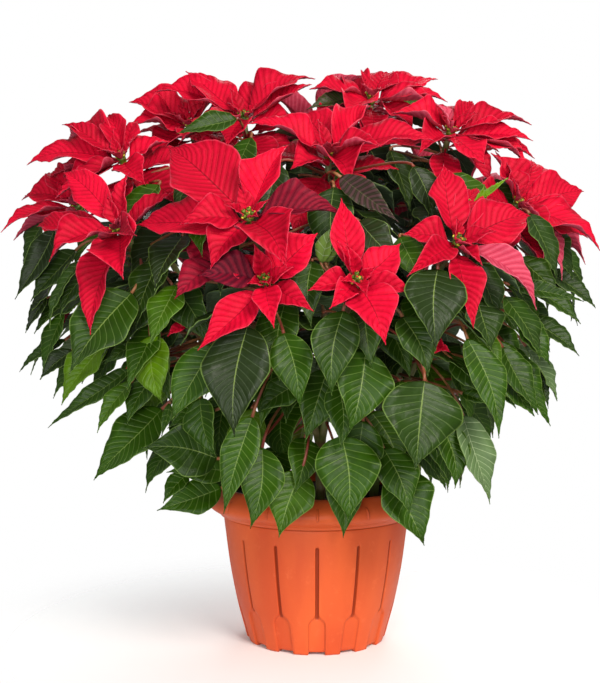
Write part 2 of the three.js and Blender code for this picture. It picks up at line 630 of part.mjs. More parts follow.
// A rod through the knot of buds: from and up to this height over the hub, and its radius.
const BUD_ROOM = { low: 3, high: 8, radius: 4.6 };

function cyathiaRoom(bloom) {
  const { front } = bloomAxes(bloom.face);
  const hub = vector(bloom.hub);
  const low = hub.clone().addScaledVector(front, BUD_ROOM.low);
  const high = hub.clone().addScaledVector(front, BUD_ROOM.high);
  return rodRoom(new THREE.LineCurve3(low, high), BUD_ROOM.radius, 1, `cyathia_${bloom.name}`);
}

// ---------- leaves ----------

// Where a leaf's stalk may leave a branch: points along every branch, nearest first.
const NODE_SHARES = [0.2, 0.32, 0.44, 0.56, 0.68, 0.8, 0.9];
const SHORTEST_STALK = 14;
const STALK_CLIMB = 80; // most difference in height between a stalk's ends
const NODES_TRIED = 10;
const STALK_BEND = 0.36; // share of a stalk's length that runs in line with its blade

function leafNodes(base, branches) {
  const nodes = branches.flatMap((branch) => NODE_SHARES.map((share) => {
    const place = branch.curve.getPoint(share);
    return { plant: branch.plant, place, distance: place.distanceTo(base) };
  }));
  const wanted = nodes.filter(({ place, distance }) => distance > SHORTEST_STALK
    && Math.abs(place.z - base.z) < STALK_CLIMB);
  return wanted.sort((one, other) => one.distance - other.distance).slice(0, NODES_TRIED);
}

// The stalk rises from the branch, arches over and comes down in line with the blade.
function petioleCurve(node, blade) {
  const along = blade.tip.clone().sub(blade.base).normalize();
  const bend = blade.base.clone().addScaledVector(along, -STALK_BEND * node.distance);
  return new THREE.QuadraticBezierCurve3(node.place, bend, blade.base);
}

// Four-point sections along the stalk, turned so that the last one fits the blade's first row.
function petioleSections(curve, blade) {
  const along = blade.tip.clone().sub(blade.base).normalize();
  let side = along.clone().cross(squareTo(blade.facing, along));
  const sections = [];
  for (let i = PETIOLE_STEPS - 1; i >= 0; i -= 1) {
    const share = i / PETIOLE_STEPS;
    const heading = curve.getTangent(share);
    side = squareTo(side, heading);
    const middle = curve.getPoint(share);
    const across = side.clone().multiplyScalar(PETIOLE_RADIUS);
    const edges = [middle.clone().sub(across), middle.clone().add(across)];
    const normal = side.clone().cross(heading);
    sections.unshift([
      edges[0], middle.clone().addScaledVector(normal, PETIOLE_RADIUS),
      edges[1], middle.clone().addScaledVector(normal, -PETIOLE_RADIUS),
    ]);
  }
  return sections;
}

// Ranges that are drawn from, with the fold in degrees. A leaf looks outwards and a little up.
const LEAF = {
  up: 0.5, turn: [-0.35, 0.35], arch: [0.05, 0.12], fold: [8, 22], ripple: [0.08, 0.18], waves: 2,
  fullness: 0.74,
};

function leafBlade(leaf, seed, change) {
  const base = vector(leaf.base);
  const run = vector(leaf.tip).sub(base).multiplyScalar(change.size);
  const outward = vector([leaf.base[0], leaf.base[1], 0]).normalize();
  const sideways = UP.clone().cross(outward);
  run.applyAxisAngle(outward, change.clock * DEGREE);
  run.applyAxisAngle(sideways, change.lift * DEGREE);
  return {
    base,
    tip: base.clone().add(run),
    length: run.length(),
    width: leaf.width * change.size,
    facing: outward.clone().addScaledVector(UP, LEAF.up)
      .addScaledVector(sideways, drawn(LEAF.turn, seed, 1))
      .addScaledVector(TO_FRONT, leaf.base[1] < FRONT_HALF ? FRONT_TURN : 0),
    neck: 0,
    fullness: LEAF.fullness,
    arch: drawn(LEAF.arch, seed, 2),
    fold: drawn(LEAF.fold, seed, 3) * DEGREE,
    waves: LEAF.waves,
    phase: chance(seed, 4),
    ripple: drawn(LEAF.ripple, seed, 5),
  };
}

function frontLeaves() {
  return FRONT_LEAVES.map(([base, tip, width]) => ({ base, tip, width }));
}

// What is drawn for each leaf of a row: shares of its row's numbers, then radians and millimetres.
const SKIRT = {
  shift: [0, 0.3], near: [0.94, 1.04], reach: [0.7, 1.3], drop: [0.85, 1.15], swing: [-0.08, 0.08],
  rise: [0, 14], width: [42, 56],
};

function skirtLeaves() {
  return SKIRT_ROWS.flatMap(([height, radius, count, first], row) => (
    Array.from({ length: count }, (_, k) => {
      const seed = 300 + 20 * row + k;
      const azimuth = (first + (SKIRT_ARC / count) * (k + drawn(SKIRT.shift, seed, 6))) * DEGREE;
      const near = radius * drawn(SKIRT.near, seed, 7);
      const far = near + SKIRT_REACH * drawn(SKIRT.reach, seed, 8);
      const drop = SKIRT_DROP * drawn(SKIRT.drop, seed, 9);
      const swing = azimuth + drawn(SKIRT.swing, seed, 10);
      const high = height + drawn(SKIRT.rise, seed, 11);
      const base = [near * Math.cos(azimuth), near * Math.sin(azimuth), high];
      const tip = [far * Math.cos(swing), far * Math.sin(swing), high - drop];
      return { base, tip, width: drawn(SKIRT.width, seed, 12) };
    })
  ));
}

const MOST_SUNK = 0.4; // most of a stalk that counts as its root

// The stalk without its root, which is sunk in its own branch.
function outsideBranch(curve) {
  const share = Math.min((2 * BRANCH_RADIUS) / curve.getLength(), MOST_SUNK);
  const points = [0, 1, 2, 3].map((k) => curve.getPoint(share + ((1 - share) * k) / 3));
  return new THREE.CatmullRomCurve3(points);
}

function placeLeaf(leaf, seed, branches, solids) {
  const owner = `leaf_${seed}`;
  for (const change of changesOf()) {
    const blade = leafBlade(leaf, seed, change);
    const room = bladeRoom(blade, owner);
    if (isFree(room)) {
      for (const node of leafNodes(blade.base, branches)) {
        const curve = petioleCurve(node, blade);
        const stalk = rodRoom(outsideBranch(curve), PETIOLE_RADIUS, PETIOLE_STEPS, owner);
        if (isFree(stalk)) {
          taken.push(room, stalk);
          solids[node.plant].push(bladeSolid(blade, petioleSections(curve, blade)));
          return;
        }
      }
    }
  }
}

// ---------- the whole plant ----------

function finish(color, roughness) {
  return new THREE.MeshStandardMaterial({ color, roughness, metalness: 0, side: THREE.FrontSide });
}

function potRoom() {
  const wide = POT_OUTSIDE.map(([radius, height]) => [radius + POT_GUARD, height]);
  return roomOf(trianglesOf(lathe([[0, 0], ...wide, POT_MOUTH], SOIL_SIDES)), 'pot');
}

function makePlant() {
  const group = new THREE.Group();
  group.name = 'poinsettia';
  const trunks = makeTrunks();
  const branches = BLOOMS.map((bloom) => ({ bloom, plant: bloom.plant, curve: branchCurve(bloom) }));
  const solids = Object.fromEntries(trunks.map(({ name, curve }) => (
    [name, [toSolid(tube(curve, TRUNK_RADIUS, TRUNK_SIDES, 1))]])));
  branches.forEach(({ plant, curve, bloom }) => {
    solids[plant].push(toSolid(tube(curve, BRANCH_RADIUS, BRANCH_SIDES, BRANCH_STEPS)));
    taken.push(rodRoom(curve, BRANCH_ROOM, BRANCH_STEPS, `branch_${bloom.name}`));
    taken.push(cyathiaRoom(bloom));
  });
  taken.push(potRoom());

  addMesh(group, 'pot', makePot(), finish(0xe0602f, 0.45));
  addMesh(group, 'soil', makeSoil(trunks), finish(0x2b1d14, 0.95));
  BLOOMS.forEach((bloom, number) => {
    addMesh(group, `bracts_${bloom.name}`, makeBloom(bloom, number), finish(0xd3102a, 0.5));
    addMesh(group, `cyathia_${bloom.name}`, makeCyathia(bloom, number), finish(0x9aa832, 0.5));
  });
  const leaves = [...frontLeaves(), ...skirtLeaves()];
  leaves.forEach((leaf, number) => placeLeaf(leaf, 100 + number, branches, solids));
  Object.entries(solids).forEach(([name, pieces]) => {
    addMesh(group, `leafy_stem_${name}`, fuse(pieces), finish(0x2f5a24, 0.45));
  });
  // The origin is the middle of the whole plant's outline, on the surface that the pot stands on.
  const middle = new THREE.Box3().setFromObject(group, true).getCenter(new THREE.Vector3());
  group.position.set(-middle.x, -middle.y, 0);
  return group;
}

export default makePlant();
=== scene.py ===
"""A potted poinsettia: quilted red bracts and glossy leaves on forked stems, in a ribbed plastic pot.

Lengths in the tables are millimetres, measured from the pot's axis and from the floor, with -Y to
the front. grown() turns such a place into metres in the frame of the CAD model.
"""
import math

import bmesh
import bpy
from mathutils import Matrix, Quaternion, Vector, kdtree, noise
from mathutils.bvhtree import BVHTree


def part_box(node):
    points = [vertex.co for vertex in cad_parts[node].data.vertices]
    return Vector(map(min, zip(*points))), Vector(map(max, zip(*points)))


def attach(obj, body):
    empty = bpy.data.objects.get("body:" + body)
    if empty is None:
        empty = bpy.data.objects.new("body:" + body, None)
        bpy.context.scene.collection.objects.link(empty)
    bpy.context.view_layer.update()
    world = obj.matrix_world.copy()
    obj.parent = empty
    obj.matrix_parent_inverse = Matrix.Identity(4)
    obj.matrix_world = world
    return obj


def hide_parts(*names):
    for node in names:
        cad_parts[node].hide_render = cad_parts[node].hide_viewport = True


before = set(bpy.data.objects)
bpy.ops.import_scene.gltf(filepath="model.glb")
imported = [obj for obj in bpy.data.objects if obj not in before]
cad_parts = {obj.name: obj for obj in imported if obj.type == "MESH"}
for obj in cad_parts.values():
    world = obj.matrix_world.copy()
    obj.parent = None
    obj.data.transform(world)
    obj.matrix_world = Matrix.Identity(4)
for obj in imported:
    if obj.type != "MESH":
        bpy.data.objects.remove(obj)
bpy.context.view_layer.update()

MM = 0.001
TURN = math.tau
BODY = "root"

# ---------- the plant's own sizes ----------

GAP = 0.3  # between pieces that would touch
TRUNK_RADIUS = 5.5
TRUNK_FOOT = 22  # height of a trunk's buried end
BRANCH_RADIUS = 3.2
BRANCH_RISE = 26  # how much a branch rises first
BRANCH_LOW = 0.35  # share of its length where it leaves that rise
BRANCH_HIGH = 0.34  # share of its length that comes up behind the bloom
PETIOLE_RADIUS = 1.4
STALK_HALF = 1.3  # half a blade's width where it leaves its stalk
BLADE_THICKNESS = 0.6
SAME_PLACE = 0.05  # distance within which a corner of the CAD model is a blade's tip
HUB_HEIGHT = 7
HUB_RADIUS = 4.4

# Each plant's foot, and the fork that its branches grow from.
PLANTS = {
    "front": ((4, -34), (4, -46, 196)),
    "left": ((-46, -6), (-60, -14, 200)),
    "right": ((48, -8), (62, -18, 198)),
    "back_left": ((-26, 40), (-34, 52, 204)),
    "back_right": ((30, 38), (38, 50, 202)),
}

# A bloom is (name, plant, hub, face, bracts), and a bract is (clock, lift, length, width): clock is its
# direction round the bloom, counter-clockwise from the right, and lift its angle above the flat plane.
BLOOMS = [
    ("centre", "front", (-60, -190, 415), (-0.15, -0.8, 0.58), [
        (133, 5, 105, 70), (193, 20, 60, 36), (59, 12, 72, 48), (298, 14, 74, 62), (2, -12, 79, 48),
        (169, -6, 108, 54), (237, -6, 57, 40), (93, -14, 76, 44)]),
    ("low_left", "front", (-46, -205, 360), (-0.05, -0.9, 0.42), [
        (38, 15, 59, 50), (322, 18, 53, 24), (281, 15, 51, 30), (228, 5, 80, 38), (176, 4, 54, 38),
        (139, 8, 38, 30)]),
    ("low_right", "front", (31, -205, 361), (0.05, -0.92, 0.38), [
        (100, 5, 72, 40), (348, 10, 49, 24), (289, 10, 66, 50), (196, 14, 42, 30), (121, 25, 36, 15),
        (43, 5, 51, 34), (241, 12, 41, 26)]),
    ("right", "right", (121, -165, 394), (0.3, -0.8, 0.52), [
        (99, 5, 77, 46), (30, 10, 82, 52), (323, -4, 88, 34), (276, 5, 84, 38), (223, 1, 69, 36),
        (184, 10, 51, 34), (60, -6, 84, 40), (297, 32, 36, 20)]),
    ("left", "left", (-180, -125, 408), (-0.45, -0.65, 0.6), [
        (125, 15, 96, 50), (153, 5, 112, 44), (202, 10, 68, 48), (253, -5, 104, 46), (285, 6, 84, 62),
        (77, 26, 56, 22), (322, 8, 70, 40), (24, 6, 58, 38)]),
    ("crown", "front", (10, -100, 478), (0, -0.6, 0.8), [
        (168, 15, 79, 42), (11, 7, 102, 38), (289, 0, 55, 60), (224, 14, 48, 40), (60, 6, 84, 48),
        (110, 8, 80, 46), (330, 10, 58, 38)]),
    ("upper_left", "left", (-192, -30, 483), (-0.25, -0.6, 0.76), [
        (171, 2, 100, 38), (136, 4, 94, 42), (104, 18, 60, 36), (20, 4, 50, 40), (229, -4, 64, 42),
        (203, -2, 74, 42), (74, 8, 52, 28), (300, 0, 54, 40)]),
    ("crown_left", "back_left", (-73, 10, 529), (-0.05, -0.55, 0.83), [
        (134, 14, 92, 46), (155, 12, 106, 44), (30, 11, 86, 56), (350, 2, 54, 42), (256, -4, 62, 40),
        (188, 2, 70, 46), (62, 0, 68, 46), (96, 10, 58, 38), (222, 8, 64, 34)]),
    ("crown_right", "back_right", (59, 50, 555), (0.05, -0.5, 0.86), [
        (186, 6, 66, 54), (27, 14, 81, 44), (350, 2, 78, 42), (210, -2, 72, 30), (250, 0, 76, 48),
        (303, 0, 60, 46), (60, 2, 56, 44), (122, 6, 56, 46)]),
    ("upper_right", "right", (133, -20, 510), (0.2, -0.6, 0.77), [
        (12, 8, 84, 42), (344, -4, 87, 38), (180, 6, 62, 46), (234, 4, 60, 44), (297, 0, 60, 44),
        (112, 10, 48, 34), (62, 14, 52, 26), (358, 12, 82, 36)]),
    ("far_right", "right", (195, -45, 437), (0.45, -0.62, 0.64), [
        (124, 14, 56, 54), (30, 16, 90, 46), (330, 8, 90, 50), (312, -8, 84, 30), (284, 4, 60, 34),
        (200, 8, 62, 36), (72, 2, 80, 42)]),
    ("left_back", "back_left", (-133, 64, 528), (-0.15, -0.6, 0.78), [
        (195, 14, 66, 62), (232, 2, 62, 46), (290, 0, 56, 46), (350, 4, 60, 46), (52, 12, 56, 46),
        (134, 12, 72, 56)]),
    ("far_left", "left", (-243, 10, 440), (-0.5, -0.5, 0.7), [
        (214, 20, 82, 36), (190, 10, 76, 34), (150, 12, 78, 42), (250, 4, 62, 36), (116, 12, 66, 42),
        (70, 8, 56, 38), (30, 10, 58, 36)]),
    ("side_left", "left", (-236, 34, 352), (-0.8, -0.3, 0.5), [
        (252, 8, 62, 32), (150, 12, 46, 26), (32, 8, 46, 26)]),
    ("back_crown", "back_right", (4, 128, 535), (0, 0.35, 0.94), None),
    ("back_left", "back_left", (-152, 152, 452), (-0.5, 0.6, 0.62), None),
    ("back_centre", "back_left", (-20, 205, 440), (0, 0.76, 0.65), None),
    ("back_right", "back_right", (132, 160, 462), (0.5, 0.6, 0.62), None),
    ("side_right", "back_right", (214, 72, 430), (0.8, 0.3, 0.52), None),
    ("low_back_left", "back_left", (-88, 215, 350), (-0.3, 0.86, 0.4), None),
    ("low_back_right", "back_right", (84, 215, 352), (0.3, 0.86, 0.4), None),
]

# Leaves that hang in front: (place of the base, place of the tip, width).
FRONT_LEAVES = [
    ((90, -190, 275), (80, -212, 202), 68), ((20, -165, 225), (25, -182, 152), 58),
    ((-60, -212, 322), (-70, -228, 232), 58), ((40, -185, 300), (25, -200, 232), 52),
    ((100, -195, 370), (95, -225, 302), 54), ((-25, -220, 345), (10, -240, 300), 40),
    ((20, -205, 335), (10, -218, 265), 42), ((70, -200, 330), (90, -214, 280), 38),
    ((130, -165, 310), (155, -182, 225), 34), ((141, -150, 344), (150, -168, 298), 42),
    ((-165, -152, 350), (-222, -176, 285), 60), ((-90, -190, 305), (-125, -202, 242), 40),
    ((70, -130, 190), (95, -146, 124), 54), ((58, -150, 212), (80, -168, 155), 40),
    ((-15, -140, 190), (-35, -154, 133), 44), ((-50, -146, 212), (-60, -164, 143), 42),
    ((-58, -170, 242), (-82, -184, 160), 34), ((40, -146, 236), (48, -156, 172), 44),
    ((130, -140, 240), (152, -156, 163), 40), ((108, -150, 236), (120, -162, 178), 36),
    ((-145, -100, 242), (-206, -116, 178), 50), ((-92, -128, 200), (-158, -146, 212), 52),
    ((-90, -100, 168), (-148, -116, 150), 34), ((-150, -140, 312), (-138, -152, 252), 34),
    ((-200, -70, 305), (-242, -82, 244), 42), ((-175, -92, 280), (-252, -96, 224), 32),
    ((-172, -112, 268), (-202, -118, 222), 26), ((205, -62, 325), (250, -72, 290), 30),
    ((212, -42, 355), (256, -52, 320), 28), ((230, -20, 372), (277, -26, 335), 28),
    ((190, -92, 328), (217, -98, 282), 32), ((180, -72, 300), (221, -82, 224), 36),
    ((205, -40, 298), (236, -42, 244), 34), ((170, -112, 300), (201, -122, 239), 32),
    ((-258, -22, 412), (-296, -28, 350), 34), ((-246, -10, 382), (-291, -16, 310), 36),
    ((-240, 10, 330), (-300, 6, 272), 34), ((-218, 34, 318), (-286, 26, 260), 36),
    ((20, -150, 452), (68, -186, 410), 34), ((35, -172, 412), (72, -194, 378), 32),
    ((-92, -180, 376), (-122, -200, 345), 34), ((-30, -196, 316), (-16, -206, 254), 38),
    ((-18, -152, 270), (-54, -164, 245), 30), ((8, -150, 282), (-12, -164, 220), 40),
    ((-106, -140, 256), (-90, -152, 204), 36), ((-120, -150, 400), (-140, -190, 352), 40),
    ((-232, -60, 391), (-274, -66, 342), 34), ((-218, -110, 379), (-245, -116, 316), 20),
    ((-130, -140, 357), (-94, -158, 304), 38), ((-143, -125, 310), (-132, -132, 250), 24),
    ((-94, -120, 243), (-136, -134, 228), 26), ((167, -104, 305), (212, -112, 270), 26),
    ((171, -110, 277), (200, -118, 238), 30), ((195, -60, 384), (232, -70, 345), 34),
    ((215, -30, 420), (252, -36, 362), 40), ((225, -6, 410), (268, -10, 325), 26),
    ((121, -130, 290), (154, -146, 256), 34), ((-31, -60, 249), (-16, -80, 180), 52),
    ((-85, -70, 256), (-90, -88, 190), 46), ((51, -90, 238), (77, -104, 182), 48),
    ((-227, 0, 351), (-272, -6, 296), 42), ((-182, -60, 315), (-230, -70, 268), 38),
    ((149, -50, 314), (198, -56, 246), 44), ((-84, -96, 183), (-138, -110, 168), 30),
    ((182, -80, 358), (251, -84, 342), 18), ((-131, -70, 343), (-146, -84, 280), 42),
    ((-214, -30, 294), (-260, -34, 246), 34), ((-277, 20, 430), (-304, 16, 380), 30),
    ((112, -96, 220), (122, -104, 172), 36),
]

# Leaves all round the back and sides: rows of (height, radius of the bases, leaves, first azimuth).
SKIRT_ROWS = [
    (448, 206, 5, 18), (405, 232, 6, 12), (356, 214, 7, 14), (308, 190, 6, 12), (262, 160, 6, 14),
    (216, 128, 4, 16),
]
SKIRT_ARC = 156  # degrees of the circle that the rows run over
SKIRT_DROP = 78
SKIRT_REACH = 34

# Leaves based before this Y look to the front as well as outwards, by this share of it.
FRONT_HALF = 30
FRONT_TURN = 0.9

# What only the finished plant has. Bracts more, by bloom: (clock, lift, length, width, flush).
EXTRA_BRACTS = {
    "left_back": [(156, 16, 73, 58, 0), (138, 24, 61, 46, 0)],
    "upper_left": [(144, 20, 76, 24, 0), (157, -10, 109, 26, 0.3), (173, -14, 41, 24, 0.5),
                   (155, -16, 93, 46, 0.15)],
    "far_right": [(352, 8, 80, 52, 0), (117, 20, 46, 30, 0)],
    "upper_right": [(0, -10, 91, 44, 0.1), (316, -16, 65, 40, 0.1), (166, 48, 34, 22, 0)],
    "crown_left": [(31, 16, 82, 44, 0)],
    "crown_right": [(354, 0, 78, 38, 0)],
}

# Smaller leaves between the others, which only the finished plant has.
SMALL_LEAVES = [
    ((-253, -10, 303), (-298, -14, 271), 16), ((-162, -120, 305), (-193, -130, 286), 20),
    ((-171, -90, 278), (-174, -100, 246), 28), ((174, -90, 278), (226, -94, 248), 18),
    ((249, 10, 399), (272, 8, 352), 24), ((193, -70, 415), (205, -84, 380), 18),
    ((142, -150, 285), (150, -158, 252), 14), ((130, -136, 260), (154, -144, 250), 14),
    ((170, -88, 264), (186, -92, 242), 18), ((-151, -60, 274), (-162, -66, 226), 36),
    ((-263, 14, 343), (-286, 14, 272), 34), ((11, -110, 270), (25, -130, 215), 42),
    ((157, -40, 494), (142, -60, 456), 24), ((-119, -30, 528), (-85, -60, 494), 42),
    ((-64, -70, 495), (-39, -95, 462), 40), ((6, -150, 410), (24, -165, 375), 24),
    ((227, 0, 373), (281, -4, 312), 26), ((-100, -40, 300), (-120, -54, 240), 44),
    ((100, -60, 290), (122, -74, 226), 44), ((60, -110, 330), (84, -126, 272), 40),
    ((-262, -34, 410), (-298, -42, 347), 32), ((-252, -20, 330), (-280, -26, 276), 26),
]

# Young shoots and curled leaves that are placed as they are: (base, tip, width, face, tone).
SHOOTS = [
    ((140, -120, 422), (130, -126, 440), 13, (-0.3, -1, 0.3), 0.95),
    ((142, -121, 420), (150, -128, 448), 12, (0.3, -1, 0.2), 0.9),
    ((146, -122, 435), (172, -124, 454), 6, (0, -1, 0.5), 1.0),
    ((141, -121, 424), (157, -128, 424), 9, (0, -1, 0.4), 0.6),
    ((24, -150, 412), (8, -158, 378), 22, (0.9, -0.6, 0.1), 0.55),
    ((-252, -60, 410), (-289, -66, 344), 30, (-0.2, -1, 0.2), 0.1),
    ((27, -118, 466), (14, -124, 450), 10, (0, -1, 0.3), 0.4),
    ((-77, -62, 516), (-133, -76, 500), 26, (-0.1, -1, 0.5), 0.3),
    ((-118, -148, 322), (-133, -156, 312), 11, (0, -1, 0.4), 0.4),
    ((-118, -148, 322), (-126, -154, 328), 9, (0, -1, 0.4), 0.5),
    ((-118, -148, 322), (-112, -152, 331), 7, (0, -1, 0.4), 0.6),
    ((-168, -108, 288), (-176, -114, 281), 8, (0, -1, 0.4), 0.6),
    ((-168, -108, 288), (-164, -113, 296), 6, (0, -1, 0.4), 0.6),
    ((107, -150, 302), (100, -158, 296), 9, (0, -1, 0.5), 0.7),
    ((107, -150, 302), (116, -157, 298), 8, (0, -1, 0.5), 0.7),
    ((107, -150, 302), (108, -156, 311), 7, (0, -1, 0.5), 0.8),
    ((-98, -160, 400), (-100, -172, 361), 31, (0.1, -1, 0.3), 0.8),
    ((36, 45, 555), (-10, 30, 539), 24, (0, -1, 0.8), 0.4),
    ((111, 10, 533), (89, 4, 544), 14, (0, -1, 0.5), 0.4),
    ((-90, 10, 496), (-119, 0, 481), 20, (0, -1, 0.5), 0.4),
    ((-236, -60, 295), (-266, -66, 267), 22, (-0.3, -1, 0.3), 0.15),
    ((-269, -20, 345), (-287, -26, 313), 16, (-0.3, -1, 0.3), 0.1),
    ((181, -60, 332), (194, -64, 311), 14, (0.3, -1, 0.3), 0.4),
    ((-121, -105, 182), (-142, -118, 157), 22, (-0.2, -1, 0.5), 0.5),
    ((-134, -130, 250), (-141, -136, 221), 10, (-0.2, -1, 0.3), 0.5),
    ((220, -40, 274), (227, -44, 237), 12, (0.3, -1, 0.3), 0.2),
    ((2, -188, 376), (14, -196, 409), 17, (-0.5, -1, 0.1), 0.75),
    ((6, -190, 376), (18, -200, 405), 12, (0.9, -0.7, 0.1), 0.75),
    ((52, 34, 509), (83, 24, 458), 42, (0, -1, 0.4), 0.05),
    ((30, 4, 459), (48, -8, 417), 34, (0, -1, 0.4), 0.05),
]

# Leaves that close the gaps all round: rows of (height, radius, leaves).
FILL_ROWS = [
    (484, 100, 8), (462, 150, 11), (442, 205, 14), (410, 236, 16), (375, 236, 16), (340, 224, 16),
    (305, 206, 15), (270, 184, 14), (236, 158, 13), (206, 132, 12), (184, 112, 10),
]
BARE_SPOTS = (49,)  # filling leaves left out where the plant is open, counted in seeds from FILL_SEED

# Leaves along every branch, large ones just under the bloom and smaller ones down in the shade:
# (share of the branch, length, width as a share of it, droop).
INNER_LEAVES = [
    (0.97, 84, 0.55, 0.28), (0.95, 78, 0.55, 0.34), (0.93, 86, 0.52, 0.3), (0.9, 74, 0.56, 0.42),
    (0.87, 80, 0.54, 0.36), (0.8, 78, 0.54, 0.5), (0.72, 72, 0.56, 0.6), (0.63, 74, 0.55, 0.5),
    (0.54, 66, 0.56, 0.6), (0.45, 68, 0.55, 0.7), (0.36, 60, 0.56, 0.7), (0.27, 58, 0.56, 0.8),
]

# ---------- blades that look unlike the others ----------

# Bracts are named by bloom and number, leaves and shoots by their numbers in the tables.
# Flushed dark purple, from 0 to 1:
DARK_BRACTS = {("centre", 4): 0.8, ("low_left", 4): 0.9, ("crown_right", 3): 0.3, ("left", 6): 0.4}
DARK_LEAVES = {38: 0.65, 39: 0.1, 40: 0.7}
DARK_SHOOTS = {16: 0.55, 17: 0.5}
# Wider or narrower than in the table, as a share of its width:
BRACT_WIDTHS = {
    ("left", 0): 0.7, ("left", 1): 0.85, ("left", 7): 0.8, ("low_right", 0): 0.85, ("right", 0): 0.9,
    ("crown", 1): 1.2, ("upper_left", 0): 1.4, ("upper_left", 1): 1.35, ("far_right", 2): 1.2,
}
LEAF_WIDTHS = {0: 1.05, 23: 1.25, 25: 0.7, 26: 0.8, 38: 0.75, 47: 0.8}
# With corners at their shoulders, as a share of the width:
CORNERED_BRACTS = {("centre", 0): 0.15, ("centre", 2): 0.06}
# With their pale undersides to the light:
PALE_BRACTS = (("right", 2), ("far_right", 3), ("upper_right", 10))
TURNED_LEAVES = (18, 32)
TURNED_SHOOTS = (26, 27)
# Turned to bracts:
RED_LEAVES = (40,)
RED_SHOOTS = range(8, 17)
# Lighter or darker than a leaf is drawn by chance, from 0 for blue-green to 1 for lime, partly the leaf's own
# colour and partly painted light and shade:
LEAF_LIGHT = {0: 0.26, 1: 0.5, 2: 0.12, 3: 0.4, 4: 0.15, 5: 0.5, 6: 0.3, 12: 0.42, 14: 0.6, 15: 0.45,
              20: 0.4, 21: 0.3, 23: 0.78, 24: 0.8, 25: 0.3, 26: 0.6, 34: 0.1, 35: 0.1, 45: 0.1}

# ---------- chance and places ----------

pot_low, pot_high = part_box("pot")
POT_AXIS = Vector(((pot_low.x + pot_high.x) / 2, (pot_low.y + pot_high.y) / 2, 0))
UP = Vector((0, 0, 1))
TO_FRONT = Vector((0, -1, 0))


def chance(first, second):
    """A fraction from 0 to 1 that is always the same for the same two numbers."""
    scattered = math.sin(first * 12.9898 + second * 78.233) * 43758.5453
    return scattered - math.floor(scattered)


def drawn(limits, first, second):
    """A number between two limits, drawn by the same two numbers."""
    low, high = limits
    return low + (high - low) * chance(first, second)


def grown(place):
    """A place in millimetres from the pot's axis, in metres in the model's frame."""
    return POT_AXIS + Vector(place) * MM


def square_to(hint, along):
    return (hint - along * hint.dot(along)).normalized()


def bloom_axes(face):
    """The bloom's own directions: its face, and clock 0 and clock 90 in its flat plane."""
    front = Vector(face).normalized()
    right = square_to(Vector((1, 0, 0)), front)
    return front, right, front.cross(right)


# ---------- materials ----------

BLADE_CHART = "blade_chart"  # UV map: across the blade, and along it in line with its lateral veins
BLADE_TRAITS = "blade_traits"  # attribute: tone, number of lateral veins out of MOST_VEINS, flush
MOST_VEINS = 24
# The pot's attribute holds painted shade: all over in its slots and in lines along its other edges.
POT_PAINTED_SHADE = "pot_painted_shade"  # attribute: how dark the pot's wall is in its recesses

# Two kinds of tissue: crinkles and the depth of their relief in millimetres, how deep the veins lie in
# it, how much light comes through and how much the skin shines. The cells of real tissue are finer;
# the crinkles are as coarse as the render can show.
BRACT_TISSUE = {"crinkle": 4, "depth": 1.4, "strength": 0.6, "vein": 0.4, "through": 0.16, "shine": 0.13}
LEAF_TISSUE = {"crinkle": 5, "depth": 0.9, "strength": 0.5, "vein": 0.5, "through": 0.2, "shine": 0.3}
# Where each part of a blade begins and is full: the first two as shares of the space between two veins,
# the others of half the width.
# The crests between two veins carry a painted highlight.
VEIN, CREST_HIGHLIGHT = (0.12, 0.02), (0.1, 0.5)
MIDRIB, RIM = (0.03, 0.01), (0.93, 1.0)


def colour(hex_code):
    """An sRGB hex colour as linear red, green, blue and alpha."""
    parts = [int(hex_code[i:i + 2], 16) / 255 for i in (1, 3, 5)]
    return (*[c / 12.92 if c <= 0.04045 else ((c + 0.055) / 1.055) ** 2.4 for c in parts], 1)


def node(tree, kind, inputs=None, **settings):
    """Adds a node, sets it, and gives its inputs a value, a hex colour or another node's output."""
    made = tree.nodes.new(kind)
    for name, value in settings.items():
        setattr(made, name, value)
    for name, value in (inputs or {}).items():
        if isinstance(value, bpy.types.NodeSocket):
            tree.links.new(value, made.inputs[name])
        else:
            made.inputs[name].default_value = colour(value) if isinstance(value, str) else value
    return made


def new_material(name):
    """An empty material, its nodes, and the Object coordinates that its patterns are laid out in."""
    made = bpy.data.materials.new(name)
    made.use_nodes = True
    tree = made.node_tree
    tree.nodes.clear()
    return made, tree, node(tree, "ShaderNodeTexCoord").outputs["Object"]


def grain(size):
    """The scale of a pattern whose forms are size millimetres apart."""
    return 1 / (size * MM)


def painted(tree, ground, *coats):
    """Lays coats of colour over a ground. Each covers as much as its value says or, where low and high
    follow, from nothing where the value is low to most, or all, where it is high."""
    for paint, value, *limits in coats:
        if limits:
            low, high, *most = limits
            value = node(tree, "ShaderNodeMapRange", {
                "Value": value, "From Min": low, "From Max": high, "To Max": most[0] if most else 1.0,
            }, interpolation_type="SMOOTHSTEP").outputs[0]
        ground = node(tree, "ShaderNodeMix", {0: value, 6: ground, 7: paint}, data_type="RGBA").outputs[2]
    return ground


